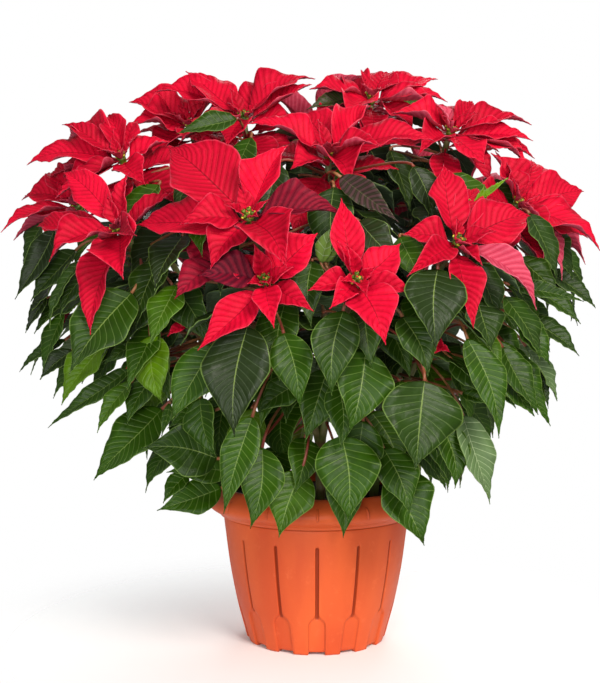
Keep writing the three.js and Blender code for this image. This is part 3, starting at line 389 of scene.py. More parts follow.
def blade_pattern(tree):
    """What a blade's materials share: its veins, midrib, rim and length, and its own tone and flush."""
    own = node(tree, "ShaderNodeAttribute", attribute_name=BLADE_TRAITS)
    traits = node(tree, "ShaderNodeSeparateXYZ", {0: own.outputs["Vector"]})
    chart = node(tree, "ShaderNodeUVMap", uv_map=BLADE_CHART)
    place = node(tree, "ShaderNodeSeparateXYZ", {0: chart.outputs["UV"]})
    signed = node(tree, "ShaderNodeMath", {0: place.outputs[0], 1: 2.0, 2: -1.0}, operation="MULTIPLY_ADD")
    across = node(tree, "ShaderNodeMath", {0: signed.outputs[0]}, operation="ABSOLUTE")
    count = node(tree, "ShaderNodeMath", {0: traits.outputs[1], 1: MOST_VEINS}, operation="MULTIPLY")
    row = node(tree, "ShaderNodeMath", {0: place.outputs[1], 1: count.outputs[0]}, operation="MULTIPLY")
    wave = node(tree, "ShaderNodeMath", {0: row.outputs[0], 1: 0.5}, operation="PINGPONG")
    part = {"along": place.outputs[1], "tone": traits.outputs[0], "flush": traits.outputs[2]}
    edges = {"vein": (wave, VEIN), "crest": (wave, CREST_HIGHLIGHT), "midrib": (across, MIDRIB), "rim": (across, RIM)}
    for name, (value, (low, high)) in edges.items():
        part[name] = node(tree, "ShaderNodeMapRange", {
            "Value": value.outputs[0], "From Min": low, "From Max": high,
        }, interpolation_type="SMOOTHSTEP").outputs[0]
    return part


def tissue_surface(tree, place, part, shade, roughness, tissue):
    """A thin wet skin, crinkled and with sunken veins, over tissue that lets some light through."""
    crinkles = node(tree, "ShaderNodeTexNoise", {
        "Vector": place, "Scale": grain(tissue["crinkle"]), "Detail": 4.0})
    relief = node(tree, "ShaderNodeMath", {
        0: part["vein"], 1: -tissue["vein"], 2: crinkles.outputs[0]}, operation="MULTIPLY_ADD")
    bump = node(tree, "ShaderNodeBump", {
        "Height": relief.outputs[0], "Strength": tissue["strength"], "Distance": tissue["depth"] * MM})
    skin = node(tree, "ShaderNodeBsdfPrincipled", {
        "Base Color": shade, "Roughness": roughness, "IOR": 1.42, "Specular IOR Level": tissue["shine"],
        "Normal": bump.outputs[0]})
    inside = node(tree, "ShaderNodeBsdfTranslucent", {"Color": shade, "Normal": bump.outputs[0]})
    both = node(tree, "ShaderNodeMixShader", {0: tissue["through"], 1: skin.outputs[0], 2: inside.outputs[0]})
    node(tree, "ShaderNodeOutputMaterial", {"Surface": both.outputs[0]})


def solid_surface(tree, height, strength, depth, finish):
    """An opaque skin with its finish, and with relief of a depth in millimetres."""
    bump = node(tree, "ShaderNodeBump", {"Height": height, "Strength": strength, "Distance": depth * MM})
    skin = node(tree, "ShaderNodeBsdfPrincipled", {**finish, "Normal": bump.outputs[0]})
    node(tree, "ShaderNodeOutputMaterial", {"Surface": skin.outputs[0]})


def bract_material(name, fresh, deep, crest, vein, rim, roughness):
    """Living bract tissue: velvety cells over quilted veins, which give it a deep, slightly soft red, with a
    painted highlight on the crests between the veins.
    """
    made, tree, place = new_material(name)
    part = blade_pattern(tree)
    mottle = node(tree, "ShaderNodeTexNoise", {"Vector": place, "Scale": grain(14), "Detail": 3.0})
    # Both the purple and the red are lighter on the crests between the veins: a painted highlight.
    purple = painted(tree, "#3E1020", ("#6A1226", part["crest"], 0.0, 1.0))
    shade = painted(
        tree, fresh, (deep, part["tone"]), (deep, mottle.outputs[0], 0.35, 0.75, 0.5),
        (crest, part["crest"], 0.2, 1.0, 0.24), (vein, part["vein"], 0.0, 1.0, 0.15),
        (rim, part["rim"], 0.3, 1.0, 0.28), (vein, part["along"], 0.2, 0.0, 0.5),
        (vein, part["midrib"], 0.0, 1.0, 0.75), (purple, part["flush"]))
    tissue_surface(tree, place, part, shade, roughness, BRACT_TISSUE)
    return made


def leaf_material(name, dark, middle, lime, vein, rib, clearness, roughness):
    """A waxy leaf: smooth and shining between pale sunken veins, from blue-green to lime in new growth."""
    made, tree, place = new_material(name)
    part = blade_pattern(tree)
    mottle = node(tree, "ShaderNodeTexNoise", {"Vector": place, "Scale": grain(18), "Detail": 3.0})
    line = painted(tree, "#56664C", (vein, part["tone"], 0.05, 0.5))
    # The purple is lighter on the crests between the veins: a painted highlight.
    purple = painted(tree, "#30161E", ("#5A3240", part["crest"], 0.0, 1.0))
    shade = painted(
        tree, dark, (middle, part["tone"], 0.0, 0.5), (lime, part["tone"], 0.5, 1.0),
        (dark, mottle.outputs[0], 0.4, 0.75, 0.4), (line, part["vein"], 0.3, 1.0, clearness),
        (vein, part["rim"], 0.3, 1.0, 0.45), (rib, part["midrib"], 0.0, 1.0, 0.5),
        (purple, part["flush"]))
    tissue_surface(tree, place, part, shade, roughness, LEAF_TISSUE)
    return made


def stem_material(name, young, old, scar, roughness):
    """Half-woody shoot skin: smooth, with faint lengthwise streaks and small scars where leaves fell."""
    made, tree, place = new_material(name)
    upright = node(tree, "ShaderNodeMapping", {"Vector": place, "Scale": (1.0, 1.0, 0.15)})
    streaks = node(tree, "ShaderNodeTexNoise", {
        "Vector": upright.outputs[0], "Scale": grain(2.2), "Detail": 3.0})
    patches = node(tree, "ShaderNodeTexNoise", {"Vector": place, "Scale": grain(30), "Detail": 2.0})
    spots = node(tree, "ShaderNodeTexVoronoi", {"Vector": place, "Scale": grain(9)})
    shade = painted(
        tree, young, (old, patches.outputs[0], 0.35, 0.65), (scar, streaks.outputs[0], 0.45, 0.75, 0.4),
        (scar, spots.outputs["Distance"], 0.16, 0.05, 0.6))
    finish = {"Base Color": shade, "Roughness": roughness, "IOR": 1.45}
    solid_surface(tree, streaks.outputs[0], 0.4, 0.4, finish)
    return made


def bud_material(name, low, high, size, roughness):
    """Small fleshy flower parts: waxy and slightly translucent, and paler here and there."""
    made, tree, place = new_material(name)
    spread = node(tree, "ShaderNodeTexNoise", {"Vector": place, "Scale": grain(size), "Detail": 2.0})
    shade = painted(tree, low, (high, spread.outputs[0], 0.35, 0.65))
    finish = {"Base Color": shade, "Roughness": roughness, "IOR": 1.43, "Subsurface Weight": 0.1,
              "Subsurface Radius": (2 * MM, 1 * MM, 0.5 * MM)}
    solid_surface(tree, spread.outputs[0], 0.3, 0.2, finish)
    return made


def pot_material():
    """Injection-moulded polypropylene: satin terracotta orange with faint flow marks and a matt grain, and
    painted shade in its recesses.
    """
    made, tree, place = new_material("moulded_polypropylene")
    upright = node(tree, "ShaderNodeMapping", {"Vector": place, "Scale": (1.0, 1.0, 0.3)})
    flow = node(tree, "ShaderNodeTexNoise", {"Vector": upright.outputs[0], "Scale": grain(45), "Detail": 4.0})
    sunk = node(tree, "ShaderNodeAttribute", attribute_name=POT_PAINTED_SHADE)
    matt = node(tree, "ShaderNodeTexNoise", {"Vector": place, "Scale": grain(1.2), "Detail": 2.0})
    dust = node(tree, "ShaderNodeTexNoise", {
        "Vector": place, "Scale": grain(11), "Detail": 5.0, "Roughness": 0.65})
    # The dark orange coat is painted shade, in the slots and in lines at the edges of the arches, the ribs
    # and the collar.
    shade = painted(
        tree, "#BC4822", ("#CA5628", flow.outputs[0], 0.3, 0.7), ("#E4794C", dust.outputs[0], 0.55, 0.8, 0.3),
        ("#7A2408", sunk.outputs["Fac"], 0.0, 1.0, 0.9))
    satin = node(tree, "ShaderNodeMapRange", {
        "Value": dust.outputs[0], "From Min": 0.2, "From Max": 0.9, "To Min": 0.42, "To Max": 0.58,
    }, interpolation_type="SMOOTHSTEP")
    finish = {"Base Color": shade, "Roughness": satin.outputs[0], "IOR": 1.49, "Specular IOR Level": 0.25}
    solid_surface(tree, matt.outputs[0], 0.25, 0.08, finish)
    return made


def peat_material():
    """Moist peat: very dark brown, crumbly and dull, with paler fibres in it."""
    made, tree, place = new_material("moist_peat")
    crumbs = node(tree, "ShaderNodeTexVoronoi", {"Vector": place, "Scale": grain(3.5)}).outputs["Distance"]
    fibres = node(tree, "ShaderNodeTexNoise", {"Vector": place, "Scale": grain(1.6), "Detail": 4.0})
    shade = painted(tree, "#1A100A", ("#38261A", crumbs), ("#5A4230", fibres.outputs[0], 0.6, 0.75, 0.5))
    finish = {"Base Color": shade, "Roughness": 0.92, "Specular IOR Level": 0.25}
    solid_surface(tree, crumbs, 0.8, 1.2, finish)
    return made


BRACT_FACE = bract_material("red_bract_face", "#D60A30", "#9C041E", "#EC1442", "#6A0212", "#EE6078", 0.55)
BRACT_BACK = bract_material("red_bract_underside", "#CC4A60", "#B0304A", "#DC7288", "#94203A", "#EE9CAA", 0.6)
LEAF_FACE = leaf_material("waxy_leaf_face", "#18220A", "#2C4E00", "#6C9608", "#88A650", "#8EA456", 0.3, 0.42)
LEAF_BACK = leaf_material("leaf_underside", "#42523A", "#5C7646", "#86A62C", "#A8BC8C", "#B8C69A", 0.6, 0.55)
SHOOT = stem_material("half_woody_shoot", "#5A6A30", "#6A5234", "#3E3020", 0.5)
PETIOLE = stem_material("red_petiole", "#7A3226", "#8A5A34", "#5A1E1C", 0.42)
CUP = bud_material("green_cyathium_cup", "#34480E", "#68781E", 3, 0.45)
GLAND = bud_material("yellow_nectar_gland", "#8C8420", "#B8AC34", 2, 0.3)
ANTHER = bud_material("red_anther", "#B01420", "#D03A2A", 1, 0.6)
POT = pot_material()
PEAT = peat_material()


# ---------- from a bmesh to a piece ----------

def finished(bm, name, materials, replaced):
    """Makes the object of a piece, smooth, riding on the body and standing for its CAD node."""
    mesh = bpy.data.meshes.new(name)
    bm.to_mesh(mesh)
    bm.free()
    mesh.polygons.foreach_set("use_smooth", [True] * len(mesh.polygons))
    for used in materials:
        mesh.materials.append(used)
    piece = bpy.data.objects.new(name, mesh)
    bpy.context.scene.collection.objects.link(piece)
    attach(piece, BODY)
    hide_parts(replaced)
    return piece


def finished_blades(bm, name, materials, replaced):
    """The same for blades, which get their thickness, with the next material on their undersides."""
    piece = finished(bm, name, materials, replaced)
    tissue = piece.modifiers.new("tissue", "SOLIDIFY")
    tissue.thickness = BLADE_THICKNESS * MM
    tissue.offset = 0
    tissue.material_offset = 1
    tissue.use_even_offset = False


def corners_of(name):
    """The corners of a CAD node, to look up which blades it holds."""
    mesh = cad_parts[name].data
    tree = kdtree.KDTree(len(mesh.vertices))
    for vert in mesh.vertices:
        tree.insert(vert.co, vert.index)
    tree.balance()
    return tree


def has_corner(tree, place):
    return tree.find(grown(place))[2] < SAME_PLACE * MM


# ---------- blades ----------

VEIN_SPACING = 5.8
FEWEST_VEINS = 6
# Columns of a blade's grid, and rows for each lateral vein.
FINE_GRID = (8, 3)
COARSE_GRID = (6, 2)
MIDRIB_CROWDING = 1.5  # power that draws the columns together at the midrib

# How sharply a blade narrows to its root and to its tip, where a straight taper has this share.
ROOT_POWER = 0.75
TIP_POWER = 1.5
TIP_EASE = 0.4  # less of that power where the tip begins
TIP_TAPER = 0.45
TIP_HALF = 0.2  # half the tip's width
SHOULDER = 0.32  # share of the length at which a blade's corner stands out, and later by up to:
SHOULDER_SPREAD = 0.26
SHOULDER_LAG = 0.1  # at one edge, and earlier at the other
SHOULDER_REACH = 0.13
MOST_CORNER = 0.12
# A blade's arch is an even bow and one that is highest towards the tip.
EVEN_BOW = 2
LATE_BOW = 3.4
RIPPLE_LAG = 0.9  # radians by which the waves of each edge are shifted from the midrib's
TWIST = 0.7  # range of the rise of one edge over the other at the tip, as a share of half the width
SWAY = 0.14  # range of the bend to one side, as a share of the length
FOLD_CURVE = 1.4  # a blade is flatter at its midrib and steeper at its rim
RIPPLE_CURVE = 1.6
VEIN_SLANT = 1.46  # how much further along than at the midrib a lateral vein ends, on a square blade
MOST_SLANT = 0.9
# Relief in millimetres: tissue puffed up between two veins, the midrib's groove, buckles, a waved rim.
RELIEF_EASE = 0.4  # power with which all of it fades towards the blade's ends
QUILT = 0.7
QUILT_POWER = 0.7  # below 1, so that tissue stands full between narrow veins
QUILT_LEVEL = 0.6  # share of the quilt's height that lies at the smooth surface
MIDRIB_DEPTH = 0.5
MIDRIB_HALF = 0.07  # as a share of half the width
BUCKLE = 1.6
BUCKLES = (1.6, 5)  # across half the blade, and along it
FRILL = 0.7
FRILL_WAVES = 6.5


class Blade:
    """A bract or a leaf: where it runs, how wide it is, and how it is arched, folded and waved."""

    def __init__(self, base, tip, width, facing, kind, seed, first, step=1):
        self.base = base
        self.tip = tip
        self.run = tip - base
        self.length = self.run.length
        self.width = width
        self.along = self.run.normalized()
        self.normal = square_to(facing, self.along)
        self.side = self.along.cross(self.normal)
        self.neck = kind["neck"]
        self.fullness = kind["fullness"]
        self.waves = kind["waves"]
        self.arch = drawn(kind["arch"], seed, first)
        self.fold = math.radians(drawn(kind["fold"], seed, first + step))
        self.phase = chance(seed, first + 2 * step)
        self.ripple = drawn(kind["ripple"], seed, first + 3 * step)
        self.corner = MOST_CORNER * self.phase ** 3
        self.twist = TWIST * (self.phase * 7 % 1 - 0.5)
        self.sway = SWAY * self.length * (self.phase * 13 % 1 - 0.5)
        self.tone = 0.0
        self.flush = 0.0

    def half_width(self, t, side):
        """Half the width at t of the length: rounded below, angular at a shoulder, with a fine tip."""
        past = min(max(t - self.neck, 0) / (1 - self.neck), 1)
        swell = max(math.sin(math.pi * past ** self.fullness), 0)
        widest = 0.5 ** (1 / self.fullness)
        if past < widest:
            shape = swell ** ROOT_POWER
        else:
            left = (1 - past) / (1 - widest)
            shape = (TIP_TAPER * left + (1 - TIP_TAPER) * swell) ** (TIP_POWER - TIP_EASE * left)
        shoulder = SHOULDER + SHOULDER_SPREAD * self.phase + SHOULDER_LAG * side
        shape *= 1 + self.corner * max(0, 1 - abs(past - shoulder) / SHOULDER_REACH)
        return max(shape * self.width * 0.5, STALK_HALF if past < 0.5 else TIP_HALF)

    def arch_at(self, t):
        return self.arch * self.length * (EVEN_BOW + LATE_BOW * t) * t * (1 - t)

    def ripple_at(self, t, side):
        swing = math.sin(TURN * (self.waves * t + self.phase) + side * RIPPLE_LAG)
        return self.ripple * swing * math.sin(math.pi * t)

    def relief(self, share, across, veins):
        """Tissue puffed between the veins, the midrib's groove, and slow buckles towards the rim."""
        out = abs(across)
        body = math.sin(math.pi * min(max(share, 0), 1)) ** RELIEF_EASE
        crest = abs(math.sin(math.pi * share * veins)) ** QUILT_POWER
        puff = (crest - QUILT_LEVEL) * (1 - 0.5 * out ** 3)
        groove = math.exp(-(across / MIDRIB_HALF) ** 2)
        buckle = noise.noise(Vector((across * BUCKLES[0], share * BUCKLES[1], self.phase * 40))) * out
        frill = math.sin(TURN * (share * FRILL_WAVES + self.phase * 3) + across) * out ** 3
        return body * (QUILT * puff - MIDRIB_DEPTH * groove + BUCKLE * buckle + FRILL * frill)

    def surface(self, across, t):
        """A point of the smooth middle surface, in millimetres."""
        half = self.half_width(t, math.copysign(1, across))
        out = abs(across)
        folded = math.sin(self.fold) * out ** FOLD_CURVE
        rise = half * (folded + self.ripple_at(t, across) * out ** RIPPLE_CURVE + self.twist * across * t * t)
        aside = across * half * math.cos(self.fold) + self.sway * math.sin(math.pi * t)
        return self.base + self.run * t + self.side * aside + self.normal * (self.arch_at(t) + rise)

    def place(self, across, share, veins):
        """The same with its relief. Rows of one share run along the veins."""
        slant = min(VEIN_SLANT * self.width / self.length, MOST_SLANT)
        t = share + slant * abs(across) * share * (1 - share)
        return self.surface(across, t) + self.normal * self.relief(share, across, veins)


# The coarse net that stands for a blade where room is looked for, without its root.
NET_ACROSS = (-1, -0.5, 0, 0.5, 1)
NET_ALONG = [0.2 + 0.8 * k / 6 for k in range(7)]
# What stays free of leaves in front of a bloom: heights before its middle, and a radius round it.
BLOOM_FRONT = (-3, 140)
BLOOM_CLEARANCE = 62


def hides_bloom(point):
    """Whether a point lies in front of a bloom, where no leaf grows."""
    for _, _, hub, face, _ in BLOOMS:
        front = Vector(face).normalized()
        offset = point - Vector(hub)
        height = offset.dot(front)
        near = (offset - front * height).length < BLOOM_CLEARANCE
        if near and BLOOM_FRONT[0] < height < BLOOM_FRONT[1]:
            return True
    return False


def meets(one, other):
    """Whether two nets cross, where their balls meet."""
    middle, reach, tree, _ = one
    other_middle, other_reach, other_tree, _ = other
    return (middle - other_middle).length < reach + other_reach and tree.overlap(other_tree)


class Room:
    """The blades that have their place, so that what is added later grows between them."""

    def __init__(self):
        self.taken = []

    def net_of(self, blade):
        """The net over a blade, with a ball round it."""
        points = [blade.surface(across, t) for t in NET_ALONG for across in NET_ACROSS]
        wide = len(NET_ACROSS)
        faces = [(i, i + 1, i + wide + 1, i + wide) for i in range(len(points) - wide) if (i + 1) % wide]
        middle = sum(points, Vector()) / len(points)
        reach = max((point - middle).length for point in points)
        return middle, reach, BVHTree.FromPolygons(points, faces), points

    def take(self, blade):
        self.taken.append(self.net_of(blade))

    def takes(self, blade):
        """Takes the blade's place if it is free, and tells whether it was."""
        net = self.net_of(blade)
        *_, points = net
        if any(hides_bloom(point) for point in points) or any(meets(net, other) for other in self.taken):
            return False
        self.taken.append(net)
        return True


room = Room()


def add_blade(bm, blade, grid=FINE_GRID, material=0, turned=False):
    """Lays a grid over the blade, with its rows along the lateral veins. A turned one shows its underside."""
    columns, rows_per_vein = grid
    veins = max(FEWEST_VEINS, round(blade.length / VEIN_SPACING))
    chart = bm.loops.layers.uv.get(BLADE_CHART) or bm.loops.layers.uv.new(BLADE_CHART)
    traits = bm.verts.layers.float_vector.get(BLADE_TRAITS) or bm.verts.layers.float_vector.new(BLADE_TRAITS)
    made = bmesh.ops.create_grid(bm, x_segments=columns, y_segments=veins * rows_per_vein, size=0.5)["verts"]
    spots = {}
    for vert in made:
        across = math.copysign(abs(2 * vert.co.x) ** MIDRIB_CROWDING, vert.co.x)
        share = vert.co.y + 0.5
        spots[vert] = ((across + 1) / 2, share)
        vert.co = grown(blade.place(across, share, veins))
        vert[traits] = Vector((blade.tone, veins / MOST_VEINS, blade.flush))
    faces = list({face for vert in made for face in vert.link_faces})
    for face in faces:
        face.material_index = material
        for loop in face.loops:
            loop[chart].uv = spots[loop.vert]
    if turned:
        bmesh.ops.reverse_faces(bm, faces=faces)


# ---------- tubes ----------

TANGENT_STEP = 0.01  # share of a tube's length over which its heading is taken
NEARLY_ALONG = 0.98  # cosine above which the last side can't be kept


def add_tube(bm, centre, radius, sides, steps, material=0):
    """Extrudes a capped ring along centre(share), with its size from radius(share)."""
    ring = bmesh.ops.create_circle(bm, cap_ends=True, segments=sides, radius=1)["verts"]
    end = ring[0].link_faces[0]
    faces = {end}
    side = UP.orthogonal()
    stood = Matrix()
    for step in range(steps + 1):
        share = step / steps
        ahead, behind = min(share + TANGENT_STEP, 1), max(share - TANGENT_STEP, 0)
        heading = (centre(ahead) - centre(behind)).normalized()
        side = square_to(side if abs(side.dot(heading)) < NEARLY_ALONG else heading.orthogonal(), heading)
        turned = Matrix((side, heading.cross(side), heading)).transposed().to_4x4()
        size = radius(share) * MM
        place = Matrix.Translation(grown(centre(share))) @ turned @ Matrix.Diagonal((size, size, size, 1))
        if step:
            made = bmesh.ops.extrude_face_region(bm, geom=[end])["geom"]
            ring = [part for part in made if isinstance(part, bmesh.types.BMVert)]
            end = next(part for part in made if isinstance(part, bmesh.types.BMFace))
            faces.update(face for vert in ring for face in vert.link_faces)
        bmesh.ops.transform(bm, matrix=place @ stood.inverted(), verts=ring)
        stood = place
    for face in faces:
        if face.is_valid:
            face.material_index = material


def bezier(points, share):
    """A point of the Bezier curve through these control points."""
    while len(points) > 1:
        points = [a.lerp(b, share) for a, b in zip(points, points[1:])]
    return points[0]


# ---------- blooms ----------

TIER = 1.6  # every second bract stands this much higher or lower on the hub
TIER_LIFT = 3
BRACT_ROOT = 1.6  # from the bloom's middle to where a bract begins
# Ranges that are drawn from, with angles in degrees, shifts as shares of the step from one bract to the
# next, and widths as shares of the length. The draws are added to a bract's number for each of its parts.
BRACT = {"turn": (-0.2, 0.2), "arch": (0.05, 0.15), "fold": (12, 36), "ripple": (0.1, 0.22), "waves": 1.6,
         "fullness": 0.8, "neck": 0.13}
DRAWN_PARTS = ("length", "shift", "lift", "width")
WHORL = {"count": 5, "length": (76, 96), "shift": (0, 0.3), "lift": (2, 14), "width": (0.55, 0.55),
         "draws": (0, 20, 40, 60)}
YOUNG = {"count": 4, "length": (20, 36), "shift": (0, 0.5), "lift": (34, 54), "width": (0.38, 0.52),
         "draws": (70, 60, 80, 90)}
LOWER = {"count": 6, "length": (62, 88), "shift": (0, 0.5), "lift": (-16, -2), "width": (0.46, 0.56),
         "draws": (110, 120, 130, 140)}
LOWER_WHORLS = (5, 13)  # how far each stands below the first whorl
LOWER_CHANGES = [(turned, 0, 1) for turned in (0, 14, -14, 26, -26)]  # tried in turn, to find room
# Blooms with one whorl, and those whose bracts are flatter than the others'. Every bract is folded and
# waved more than its CAD solid, by these factors.
LOW_BLOOMS = ("centre", "low_left", "low_right", "right", "left", "side_left")
FLAT_BLOOMS = (*LOW_BLOOMS, "crown_right", "far_right")
FLAT_FOLD, FLAT_RIPPLE = 1.25, 1.4
UPPER_FOLD, UPPER_RIPPLE = (1, 1.9), 1.5
# Tones from fresh to deep red.
BRACT_TONE = (0, 0.75)
LOWER_TONE = (0.5, 1)
YOUNG_TONE = (0.4, 0.9)

# Changes of clock and lift that a blade may have taken to keep clear of its neighbours.
CHANGES = [(0, 0), (5, 0), (-5, 0), (0, 6), (0, -6), (8, 6), (-8, 6), (8, -6), (-8, -6),
           (0, 13), (0, -13), (14, 0), (-14, 0), (13, 12), (-13, 12), (13, -12), (-13, -12), (0, 20),
           (20, 0), (-20, 0), (0, -20)]
SIZES = (1, 0.86, 0.72)
UNCHANGED = (0, 0, 1)


def changes():
    return [(clock, lift, size) for size in SIZES for clock, lift in CHANGES]


def drawn_bract(kind, seed, k):
    """A whorl's bract as it is drawn by chance: its clock, lift, length and width."""
    length, shift, lift, width = (
        drawn(kind[what], seed, k + draw) for what, draw in zip(DRAWN_PARTS, kind["draws"]))
    return 360 / kind["count"] * (k + shift), lift, length, length * width


def bract_blade(hub, face, number, bract, seed, change=UNCHANGED):
    clock, lift, length, width = bract
    turned, raised, size = change
    front, right, up = bloom_axes(face)
    around = math.radians(clock + turned)
    tier = 1 if number % 2 == 0 else -1
    above = math.radians(lift + TIER_LIFT * tier + raised)
    flat = right * math.cos(around) + up * math.sin(around)
    along = flat * math.cos(above) + front * math.sin(above)
    base = Vector(hub) + front * (TIER * tier - HUB_HEIGHT / 2) + flat * BRACT_ROOT
    facing = front + flat * drawn(BRACT["turn"], seed, number + 5)
    return Blade(base, base + along * length * size, width * size, facing, BRACT, seed, number + 15, 10)


def young_bracts(hub, face, seed):
    """Small upright bracts close round the flowers."""
    for k in range(YOUNG["count"]):
        yield bract_blade(hub, face, 2 * k, drawn_bract(YOUNG, seed, k), seed + 50)


def lower_bracts(hub, face, seed):
    """More whorls below the first, where they find room between the others."""
    front = Vector(face).normalized()
    for k in range(LOWER["count"] * len(LOWER_WHORLS)):
        below = Vector(hub) - front * LOWER_WHORLS[k // LOWER["count"]]
        bract = drawn_bract(LOWER, seed, k)
        tried = (bract_blade(below, face, 2 * k + 1, bract, seed + 70, change) for change in LOWER_CHANGES)
        blade = next((blade for blade in tried if room.takes(blade)), None)
        if blade:
            yield blade


def make_bloom(number, bloom):
    name, _, hub, face, listed = bloom
    corners = corners_of(f"bracts_{name}")
    bm = bmesh.new()
    grown_bracts = []
    bracts = listed or [drawn_bract(WHORL, number, k) for k in range(WHORL["count"])]
    for k, bract in enumerate(bracts):
        tried = (bract_blade(hub, face, k, bract, number, change) for change in changes())
        blade = next((blade for blade in tried if has_corner(corners, blade.tip)), None)
        if blade:
            blade.flush = DARK_BRACTS.get((name, k), 0.0)
            blade.corner = CORNERED_BRACTS.get((name, k), blade.corner)
            blade.width *= BRACT_WIDTHS.get((name, k), 1)
            flat = name in FLAT_BLOOMS
            blade.fold *= FLAT_FOLD if flat else drawn(UPPER_FOLD, number, k + 150)
            blade.ripple *= FLAT_RIPPLE if flat else UPPER_RIPPLE
            grown_bracts.append((k, blade))
    for k, (*bract, flush) in enumerate(EXTRA_BRACTS.get(name, []), len(listed or [])):
        blade = bract_blade(hub, face, k, bract, number)
        blade.flush = flush
        grown_bracts.append((k, blade))
    for k, blade in grown_bracts:
        blade.tone = drawn(BRACT_TONE, number, k + 100)
        add_blade(bm, blade, material=1 if (name, k) in PALE_BRACTS else 0)
        room.take(blade)
    if name not in LOW_BLOOMS:
        for blade in lower_bracts(hub, face, number):
            blade.tone = drawn(LOWER_TONE, number, blade.length)
            add_blade(bm, blade, COARSE_GRID)
    for blade in young_bracts(hub, face, number):
        blade.tone = drawn(YOUNG_TONE, number, blade.length)
        add_blade(bm, blade, COARSE_GRID)
    finished_blades(bm, f"bract_whorl_{name}", [BRACT_FACE, BRACT_BACK], f"bracts_{name}")


CUPS = 6  # one in the middle and the others round it
CUP_SPREAD = 3.4
CUP_LEAN = 16  # degrees by which an outer cup leans outwards
CUP_RISE = 1.2
CUP_SIZE = (0.85, 1.15)
CUP_SHIFT = (0, 0.1)  # turns by which a cup stands further round
HUB_MESH = (10, 4)  # sides and steps
HUB_FOOT = 0.75  # radius of the hub's foot, as a share of the whole
HUB_ROUND = 2.2  # radians of the arc that its side follows
# Radius and height of a cup's outside and its mouth, and its gland and anthers.
CUP_PROFILE = [(0, -1.2), (1.3, -0.6), (1.9, 0.8), (2.05, 2.6), (1.6, 4.0), (1.15, 4.4), (0.9, 3.9), (0, 3.6)]
CUP_SIDES = 9
GLAND_PLACE = (1.9, 0, 3.4)
GLAND_SIZE = (1.0, 1.5, 0.9)
ANTHERS = 3
ANTHER_RADIUS = 0.55
ANTHER_SPREAD = 0.6
ANTHER_HEIGHT = 4.9
ANTHER_STEP = 0.4  # how much higher each anther stands than the last


def make_cup():
    """A flower cup with a nectar gland at its side and a few anthers in its mouth, in millimetres."""
    bm = bmesh.new()
    verts = [bm.verts.new((radius, 0, height)) for radius, height in CUP_PROFILE]
    edges = [bm.edges.new(pair) for pair in zip(verts, verts[1:])]
    bmesh.ops.spin(
        bm, geom=verts + edges, cent=(0, 0, 0), axis=(0, 0, 1), angle=TURN, steps=CUP_SIDES, use_merge=True)
    bmesh.ops.remove_doubles(bm, verts=bm.verts, dist=0.01)
    gland = Matrix.Translation(GLAND_PLACE) @ Matrix.Diagonal((*GLAND_SIZE, 1))
    parts = [(1, bmesh.ops.create_icosphere(bm, subdivisions=2, radius=1, matrix=gland)["verts"])]
    for k in range(ANTHERS):
        angle = TURN * k / ANTHERS
        out = Vector((math.cos(angle), math.sin(angle), 0)) * ANTHER_SPREAD
        spot = Matrix.Translation(out + UP * (ANTHER_HEIGHT + ANTHER_STEP * k))
        bead = bmesh.ops.create_icosphere(bm, subdivisions=1, radius=ANTHER_RADIUS, matrix=spot)
        parts.append((2, bead["verts"]))
    for matter, verts in parts:
        for face in {face for vert in verts for face in vert.link_faces}:
            face.material_index = matter
    bmesh.ops.recalc_face_normals(bm, faces=bm.faces)
    cup = bpy.data.meshes.new("cup")
    bm.to_mesh(cup)
    bm.free()
    return cup


def add_copy(bm, mesh, matrix):
    """Adds a copy of a small mesh to a larger one, at matrix."""
    count = len(bm.verts)
    bm.from_mesh(mesh)
    bm.verts.ensure_lookup_table()
    bmesh.ops.transform(bm, matrix=matrix, verts=bm.verts[count:])


def hub_radius(share):
    """A small cushion, narrower at its foot."""
    return HUB_RADIUS * (HUB_FOOT + (1 - HUB_FOOT) * math.sin(HUB_ROUND * share))


def make_flowers(number, bloom, cup_mesh):
    """The cups of a bloom and the hub that its bracts stand on."""
    name, _, hub, face, _ = bloom
    front, right, up = bloom_axes(face)
    turned = Matrix((right, up, front)).transposed()
    bm = bmesh.new()
    for cup in range(CUPS):
        outer = cup < CUPS - 1
        angle = TURN * (cup / (CUPS - 1) + drawn(CUP_SHIFT, number, cup))
        round_hub = (right * math.cos(angle) + up * math.sin(angle)) * (CUP_SPREAD if outer else 0)
        place = Vector(hub) + front * (GAP + CUP_RISE) + round_hub
        spin = Matrix.Rotation(angle, 3, "Z")
        lean = Matrix.Rotation(math.radians(CUP_LEAN if outer else 0), 3, "Y")
        size = MM * drawn(CUP_SIZE, number, cup + 9)
        stood = Matrix.Translation(grown(place)) @ (turned @ spin @ lean).to_4x4()
        add_copy(bm, cup_mesh, stood @ Matrix.Scale(size, 4))
    end = Vector(hub) - front * HUB_HEIGHT
    add_tube(bm, lambda share: end + front * (HUB_HEIGHT + 1) * share, hub_radius, *HUB_MESH)
    bmesh.ops.recalc_face_normals(bm, faces=bm.faces)
    finished(bm, f"flower_cluster_{name}", [CUP, GLAND, ANTHER], f"cyathia_{name}")


# ---------- leaves and stems ----------

# Where a leaf's stalk may leave a branch: points along every branch, nearest first.
NODE_SHARES = (0.2, 0.32, 0.44, 0.56, 0.68, 0.8, 0.9)
FINE_SHARES = [0.14 + 0.04 * k for k in range(21)]
SHORTEST_STALK = 14
STALK_CLIMB = 80  # most difference in height between a stalk's ends
NODES_TRIED = 10
STALK_BEND = 0.36  # share of a stalk's length that runs in line with its blade
STALK_SLACK = 0.1  # by which a stalk's corners in the CAD model may lie outside its radius
STALK_CORNERS = 3  # fewest of them at its middle
ABOVE_COST = 0.5  # share of its height above a leaf by which a place on a branch counts as further away
